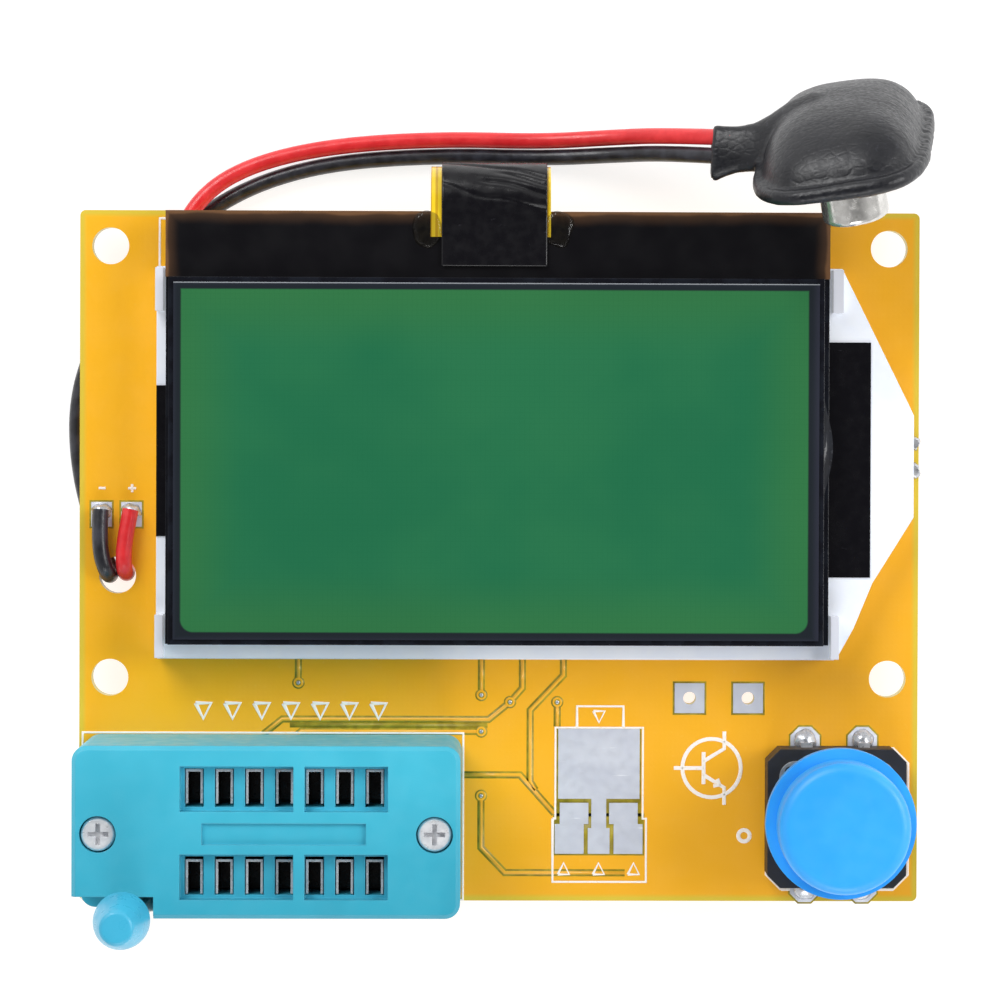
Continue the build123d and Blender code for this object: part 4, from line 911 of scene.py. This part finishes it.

# the switch's snap dome
DOME_FOOT, DOME_R, DOME_RISE, DOME_THICK = 5.4, 3.4, 0.66, 0.12
dome_out = []
for step in range(10):
    angle = step * math.pi / 20
    dome_out.append((DOME_R * math.cos(angle), DOME_RISE * math.sin(angle)))
dome_out.append((0.15, DOME_RISE))
shrink = 1 - DOME_THICK / DOME_R
dome_in = [(radius * shrink, max(0.0, height - DOME_THICK)) for radius, height in dome_out]
dome_shell = lathe(list(reversed(dome_in)) + dome_out, (SWITCH.x, SWITCH.y, DOME_FOOT), 48)
dome = join("switch_snap_dome", [dome_shell])
settle(dome, "steel", replaces=["switch_dome"])
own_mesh(dome)

# --- Display details ---
GLASS_RIGHT, _, GLASS_TOP = node_box("lcd_front_glass")[1]
SEAL_Y, SEAL_HALF, SEAL_REACH = 9.6, 4.4, 0.75
seal_outline = [(GLASS_RIGHT - 0.3, SEAL_Y - SEAL_HALF)]
for step in range(1, 24):
    share = step / 24
    bulge = SEAL_REACH * math.sin(math.pi * share) ** 1.4
    seal_outline.append((GLASS_RIGHT + bulge, SEAL_Y - SEAL_HALF + 2 * SEAL_HALF * share))
seal_outline.append((GLASS_RIGHT - 0.3, SEAL_Y + SEAL_HALF))
seal = join("display_fill_seal", [slab(seal_outline, GLASS_TOP - 1.6, GLASS_TOP - 0.1)])
settle(seal, "glass")

glue_profile = [(1.5, 0.0), (1.42, 0.12), (1.2, 0.22), (0.8, 0.3), (0.3, 0.33)]
LEDGE_TOP = node_box("lcd_ledge_tape")[1].z
glue = [lathe(glue_profile, (x, 28.3, LEDGE_TOP), 32, 0.2, x, (0.9, 1.1)) for x in (-6.3, 4.9)]
settle(join("flex_glue", glue), "glue")

lead_drop = [(0.62, 0.0), (0.58, 0.12), (0.42, 0.3), (0.2, 0.38)]
LAMP_LEADS = [(36.05, 9.95), (36.05, 7.6)]
drops = [lathe(lead_drop, (x, y, BOARD_TOP), 24, 0.5, y, (0.8, 1.1)) for x, y in LAMP_LEADS]
settle(join("lamp_lead_solder", drops), "solder")

# the black tape wrapped round the flat cable's fold, creased where it turns
TAPE_LOW, TAPE_HIGH = node_box("lcd_flex_tape")
FOLD_R = (TAPE_HIGH.z - TAPE_LOW.z) / 2
FOLD_Z = (TAPE_HIGH.z + TAPE_LOW.z) / 2
FOLD_Y = TAPE_HIGH.y - FOLD_R
TAPE_STEPS, TAPE_COLUMNS = 130, 60
# Each crease: how far round the fold it runs, its depth, its half width and where it starts across.
TAPE_CREASES = [
    (0.75, 0.1, 0.14, -9.0), (2.0, 0.22, 0.22, -2.0), (2.9, 0.16, 0.16, 0.2), (3.7, 0.2, 0.2, -9.0),
]


def tape_point(along, across, lift):
    """A point of the wrapped tape: along from 0 in front to 1 below the board, across from 0 to 1."""
    flat = FOLD_Y - TAPE_LOW.y
    bend = math.pi * FOLD_R
    travel = along * (flat + bend + 1.5)
    x = TAPE_LOW.x + across * (TAPE_HIGH.x - TAPE_LOW.x)
    if travel < flat:
        y, z, out_y, out_z = TAPE_LOW.y + travel, FOLD_Z + FOLD_R, 0.0, 1.0
    elif travel < flat + bend:
        angle = (travel - flat) / FOLD_R
        out_y, out_z = math.sin(angle), math.cos(angle)
        y, z = FOLD_Y + FOLD_R * out_y, FOLD_Z + FOLD_R * out_z
    else:
        y, z, out_y, out_z = FOLD_Y - (travel - flat - bend), FOLD_Z - FOLD_R, 0.0, -1.0
    turn = travel - flat
    along_crease = turn + 0.24 * (x - TAPE_LOW.x) - 0.9
    wander = 0.5 * noise.noise(Vector((x * 0.25, travel * 0.2, 3.0)))
    fine = noise.noise(Vector((x * 1.1 - travel * 0.6, travel * 1.3, 8.0)))
    swell = 0.02 * fine
    for place, depth, width, from_x in TAPE_CREASES:
        fade = min(1.0, max(0.0, (x - from_x) / 2.0 + 0.5))
        swell -= fade * depth * math.exp(-((along_crease - place - wander) / width) ** 2)
    bulge = 0.22 * math.exp(-((along_crease - 1.9) / 1.3) ** 2)
    rise = lift + max(-0.02, 0.12 * min(1.0, max(0.0, turn + 1.0)) + bulge + swell)
    return at(x, y + out_y * rise, z + out_z * rise)


tape_points = []
for lift in (0.03, 0.12):
    for step in range(TAPE_STEPS + 1):
        for column in range(TAPE_COLUMNS + 1):
            tape_points.append(tape_point(step / TAPE_STEPS, column / TAPE_COLUMNS, lift))
row, layer = TAPE_COLUMNS + 1, (TAPE_STEPS + 1) * (TAPE_COLUMNS + 1)
tape_faces = []
for step in range(TAPE_STEPS):
    for column in range(TAPE_COLUMNS):
        here, ahead = step * row + column, (step + 1) * row + column
        tape_faces.append([here, ahead, ahead + 1, here + 1])
        tape_faces.append([layer + here, layer + here + 1, layer + ahead + 1, layer + ahead])
rim = list(range(row))
rim += [step * row + TAPE_COLUMNS for step in range(1, TAPE_STEPS + 1)]
rim += [TAPE_STEPS * row + column for column in range(TAPE_COLUMNS - 1, -1, -1)]
rim += [step * row for step in range(TAPE_STEPS - 1, 0, -1)]
for first, second in zip(rim, rim[1:] + rim[:1]):
    tape_faces.append([first, second, layer + second, layer + first])
flex_tape = mesh_piece("flex_tape_wrap", tape_points, tape_faces)
settle(flex_tape, "flex_tape", replaces=["lcd_flex_tape"])

# --- Battery snap's cover ---
SNAP = Vector((29.9, 35.1, 12.3))
SNAP_TURN = (Matrix.Rotation(math.radians(12), 3, "Z") @ Matrix.Rotation(math.radians(108), 3, "X")
             @ Matrix.Rotation(math.radians(12), 3, "Z"))
COVER_HALF_WIDTH, COVER_HALF_LENGTH, COVER_POWER = 7.5, 12.7, 3.7
COVER_FRONT = 0.8
COVER_RINGS, COVER_STEPS = 46, 160


def rounded(angle, width, length, power):
    """A point on a rounded oblong."""
    cosine, sine = math.cos(angle), math.sin(angle)
    x = width * math.copysign(abs(cosine) ** (2 / power), cosine)
    y = length * math.copysign(abs(sine) ** (2 / power), sine)
    return x, y


def cover_back(share):
    """The back's height at a share of the way to the rim: a puffed middle and a welded edge."""
    inner = min(1.0, share / 0.88)
    puff = 4.5 * max(0.0, 1 - inner ** 2.7) ** 0.62
    weld = 0.16 * math.exp(-((share - 0.905) / 0.018) ** 2)
    bead = 0.14 * math.exp(-((share - 0.955) / 0.026) ** 2)
    edge = 0.35 * max(0.0, (share - 0.965) / 0.035) ** 2
    return -(0.55 + puff - weld + bead - edge)


def cover_front(share):
    """The front's height at a share of the way to the rim: flat, with a rounded edge."""
    return COVER_FRONT - 0.5 * max(0.0, (share - 0.93) / 0.07) ** 2


def snap_point(x, y, z):
    """A point of the snap's own axes, from the board's centre."""
    return SNAP + SNAP_TURN @ Vector((x, y, z))


def cover_body():
    """The cover's closed shell as points and faces."""
    points, faces = [], []
    angles = [2 * math.pi * step / COVER_STEPS for step in range(COVER_STEPS)]
    outline = [rounded(angle, COVER_HALF_WIDTH, COVER_HALF_LENGTH, COVER_POWER) for angle in angles]
    for height in (cover_back, cover_front):
        points.append(at(*snap_point(0, 0, height(0))))
        for ring in range(COVER_RINGS):
            share = (ring + 1) / COVER_RINGS
            for x, y in outline:
                fullness = 1.05 if x < 0 else 0.97
                place = snap_point(x * share * fullness - 0.35, y * share + 0.3, height(share))
                points.append(at(*place))
    layer = 1 + COVER_RINGS * COVER_STEPS
    for base, flip in ((0, True), (layer, False)):
        for step in range(COVER_STEPS):
            after = (step + 1) % COVER_STEPS
            wedge = [[base, base + 1 + step, base + 1 + after]]
            for ring in range(COVER_RINGS - 1):
                inner, outer = base + 1 + ring * COVER_STEPS, base + 1 + (ring + 1) * COVER_STEPS
                wedge.append([inner + step, outer + step, outer + after, inner + after])
            faces += [list(reversed(face)) for face in wedge] if flip else wedge
    back_rim = layer - COVER_STEPS
    front_rim = back_rim + layer
    for step in range(COVER_STEPS):
        after = (step + 1) % COVER_STEPS
        faces.append([back_rim + step, back_rim + after, front_rim + after, front_rim + step])
    return points, faces


# The sleeve over the wires: where each section stands, its middle, half width, half thickness and tilt.
SLEEVE = [
    (17.9, 34.8, 10.2, 2.45, 1.0, 0.0),
    (18.9, 34.95, 10.35, 2.2, 1.08, 1.0),
    (20.2, 35.15, 10.7, 2.02, 1.18, 4.0),
    (21.6, 35.3, 11.3, 2.1, 1.3, 9.0),
    (23.0, 35.45, 12.0, 2.75, 1.6, 15.0),
    (24.6, 35.8, 12.7, 3.6, 2.1, 24.0),
    (26.4, 36.1, 13.2, 4.2, 2.5, 32.0),
    (28.6, 36.1, 13.6, 4.0, 2.2, 40.0),
]
SLEEVE_STEPS = 64


def sleeve():
    """The flattened sleeve that runs from the wires into the cover, as points and faces."""
    points = []
    for index, (x, y, z, half_width, half_thick, tilt) in enumerate(SLEEVE):
        tilt = math.radians(tilt)
        for step in range(SLEEVE_STEPS):
            across, up = rounded(2 * math.pi * step / SLEEVE_STEPS, half_width, half_thick, 2.6)
            lean = 0.0
            if index == 0:
                lean = 0.3 * abs(across) / half_width - 0.25 * math.exp(-((across + 1.9) / 0.5) ** 2)
            points.append(at(x + lean, y + across * math.cos(tilt) + up * math.sin(tilt),
                             z - across * math.sin(tilt) + up * math.cos(tilt)))
    mouth = list(reversed(range(SLEEVE_STEPS)))
    end = [(len(SLEEVE) - 1) * SLEEVE_STEPS + step for step in range(SLEEVE_STEPS)]
    return points, ring_faces(len(SLEEVE), SLEEVE_STEPS) + [mouth, end]


def evaluated(piece, *modifiers):
    """The piece's mesh after some modifiers, each given as its kind and its settings."""
    for kind, settings in modifiers:
        modifier = piece.modifiers.new(kind.lower(), kind)
        for key, value in settings.items():
            setattr(modifier, key, value)
    bpy.context.view_layer.update()
    mesh = bpy.data.meshes.new_from_object(piece.evaluated_get(bpy.context.evaluated_depsgraph_get()))
    piece.modifiers.clear()
    piece.data = mesh
    return mesh


cover = join("snap_cover_skin", [cover_body(), sleeve()])
cover_mesh = evaluated(
    cover,
    ("REMESH", {"mode": "VOXEL", "voxel_size": 0.25 * MM, "use_smooth_shade": True}),
    ("SMOOTH", {"factor": 0.6, "iterations": 5}),
)
BACKWARD = SNAP_TURN @ Vector((0, 0, -1))
for vertex in cover_mesh.vertices:
    place = from_board(vertex.co)
    facing = max(0.0, vertex.normal.dot(BACKWARD))
    local = SNAP_TURN.transposed() @ (place - SNAP)
    # soft dents over the whole skin
    push = 0.14 * noise.noise(place * 0.22) + 0.04 * noise.noise(place * 0.6 + Vector((5, 0, 0)))
    # a shallow fold from the sleeve across the dome
    fold = local.y + 4.0 - 0.35 * (local.x + 7.0)
    push -= 0.14 * facing * math.exp(-((fold - 2.4) / 1.6) ** 2) * max(0.0, min(1.0, (2.0 - local.x) / 5.0))
    # short wrinkles across the far side
    far = max(0.0, min(1.0, (place.x - 31.5) / 4.0))
    ripple = noise.noise(Vector((local.x * 0.3, local.y * 1.0, 2.0)))
    push += far * facing * 0.1 * (0.5 - abs(ripple)) * 2
    vertex.co += vertex.normal * push * MM
    vertex.co.z = max(vertex.co.z, 0.05 * MM)
for polygon in cover_mesh.polygons:
    polygon.use_smooth = True
settle(cover, "vinyl", replaces=["snap_cover"])

# --- Wires ---
settle(red_wire, "red", replaces=["battery_wire_red"])
settle(black_wire, "black_wire", replaces=["battery_wire_black"])

# --- Floor and light ---
# The floor glows a little, like a light table, so that it stays white under the object too.
floor_skin = Finish("pale_floor", 0.9, Emission_Color=(1, 1, 1, 1), Emission_Strength=0.8)
floor_skin.color(floor_skin.mix(floor_skin.noise(60.0, 2.0), tint(150, 150, 150), tint(158, 158, 158)))
floor = mesh_piece("floor", [(-3, -3, 0), (3, -3, 0), (3, 3, 0), (-3, 3, 0)], [[0, 1, 2, 3]])
floor.data.materials.append(floor_skin.material)


def softbox(name, place, size, power):
    """A square area light that faces the middle of the object."""
    data = bpy.data.lights.new(name, "AREA")
    data.shape = "SQUARE"
    data.size = size
    data.energy = power
    light = bpy.data.objects.new(name, data)
    bpy.context.scene.collection.objects.link(light)
    light.location = place
    light.rotation_euler = (-Vector(place)).to_track_quat("-Z", "Y").to_euler()


softbox("key_light", (-0.4, 0.6, 0.62), 0.5, 5.0)
softbox("fill_light", (0.7, 0.15, 0.55), 0.5, 4.2)
softbox("front_light", (0.05, -0.8, 0.5), 0.5, 2.6)

# Bright round the horizon and dim overhead, so that black parts stay black from above.
world = bpy.data.worlds.new("studio")
bpy.context.scene.world = world
world.use_nodes = True
sky = world.node_tree
sky_place = sky.nodes.new("ShaderNodeTexCoord")
sky_split = sky.nodes.new("ShaderNodeSeparateXYZ")
sky_range = sky.nodes.new("ShaderNodeMapRange")
sky_range.interpolation_type = "SMOOTHSTEP"
sky.links.new(sky_place.outputs["Generated"], sky_split.inputs[0])
sky.links.new(sky_split.outputs["Z"], sky_range.inputs["Value"])
for key, number in (("From Min", 0.55), ("From Max", 0.95), ("To Min", 0.66), ("To Max", 0.09)):
    sky_range.inputs[key].default_value = number
sky.links.new(sky_range.outputs[0], sky.nodes["Background"].inputs["Strength"])
sky.nodes["Background"].inputs["Color"].default_value = (1, 1, 1, 1)
bpy.context.scene.view_settings.view_transform = "Standard"
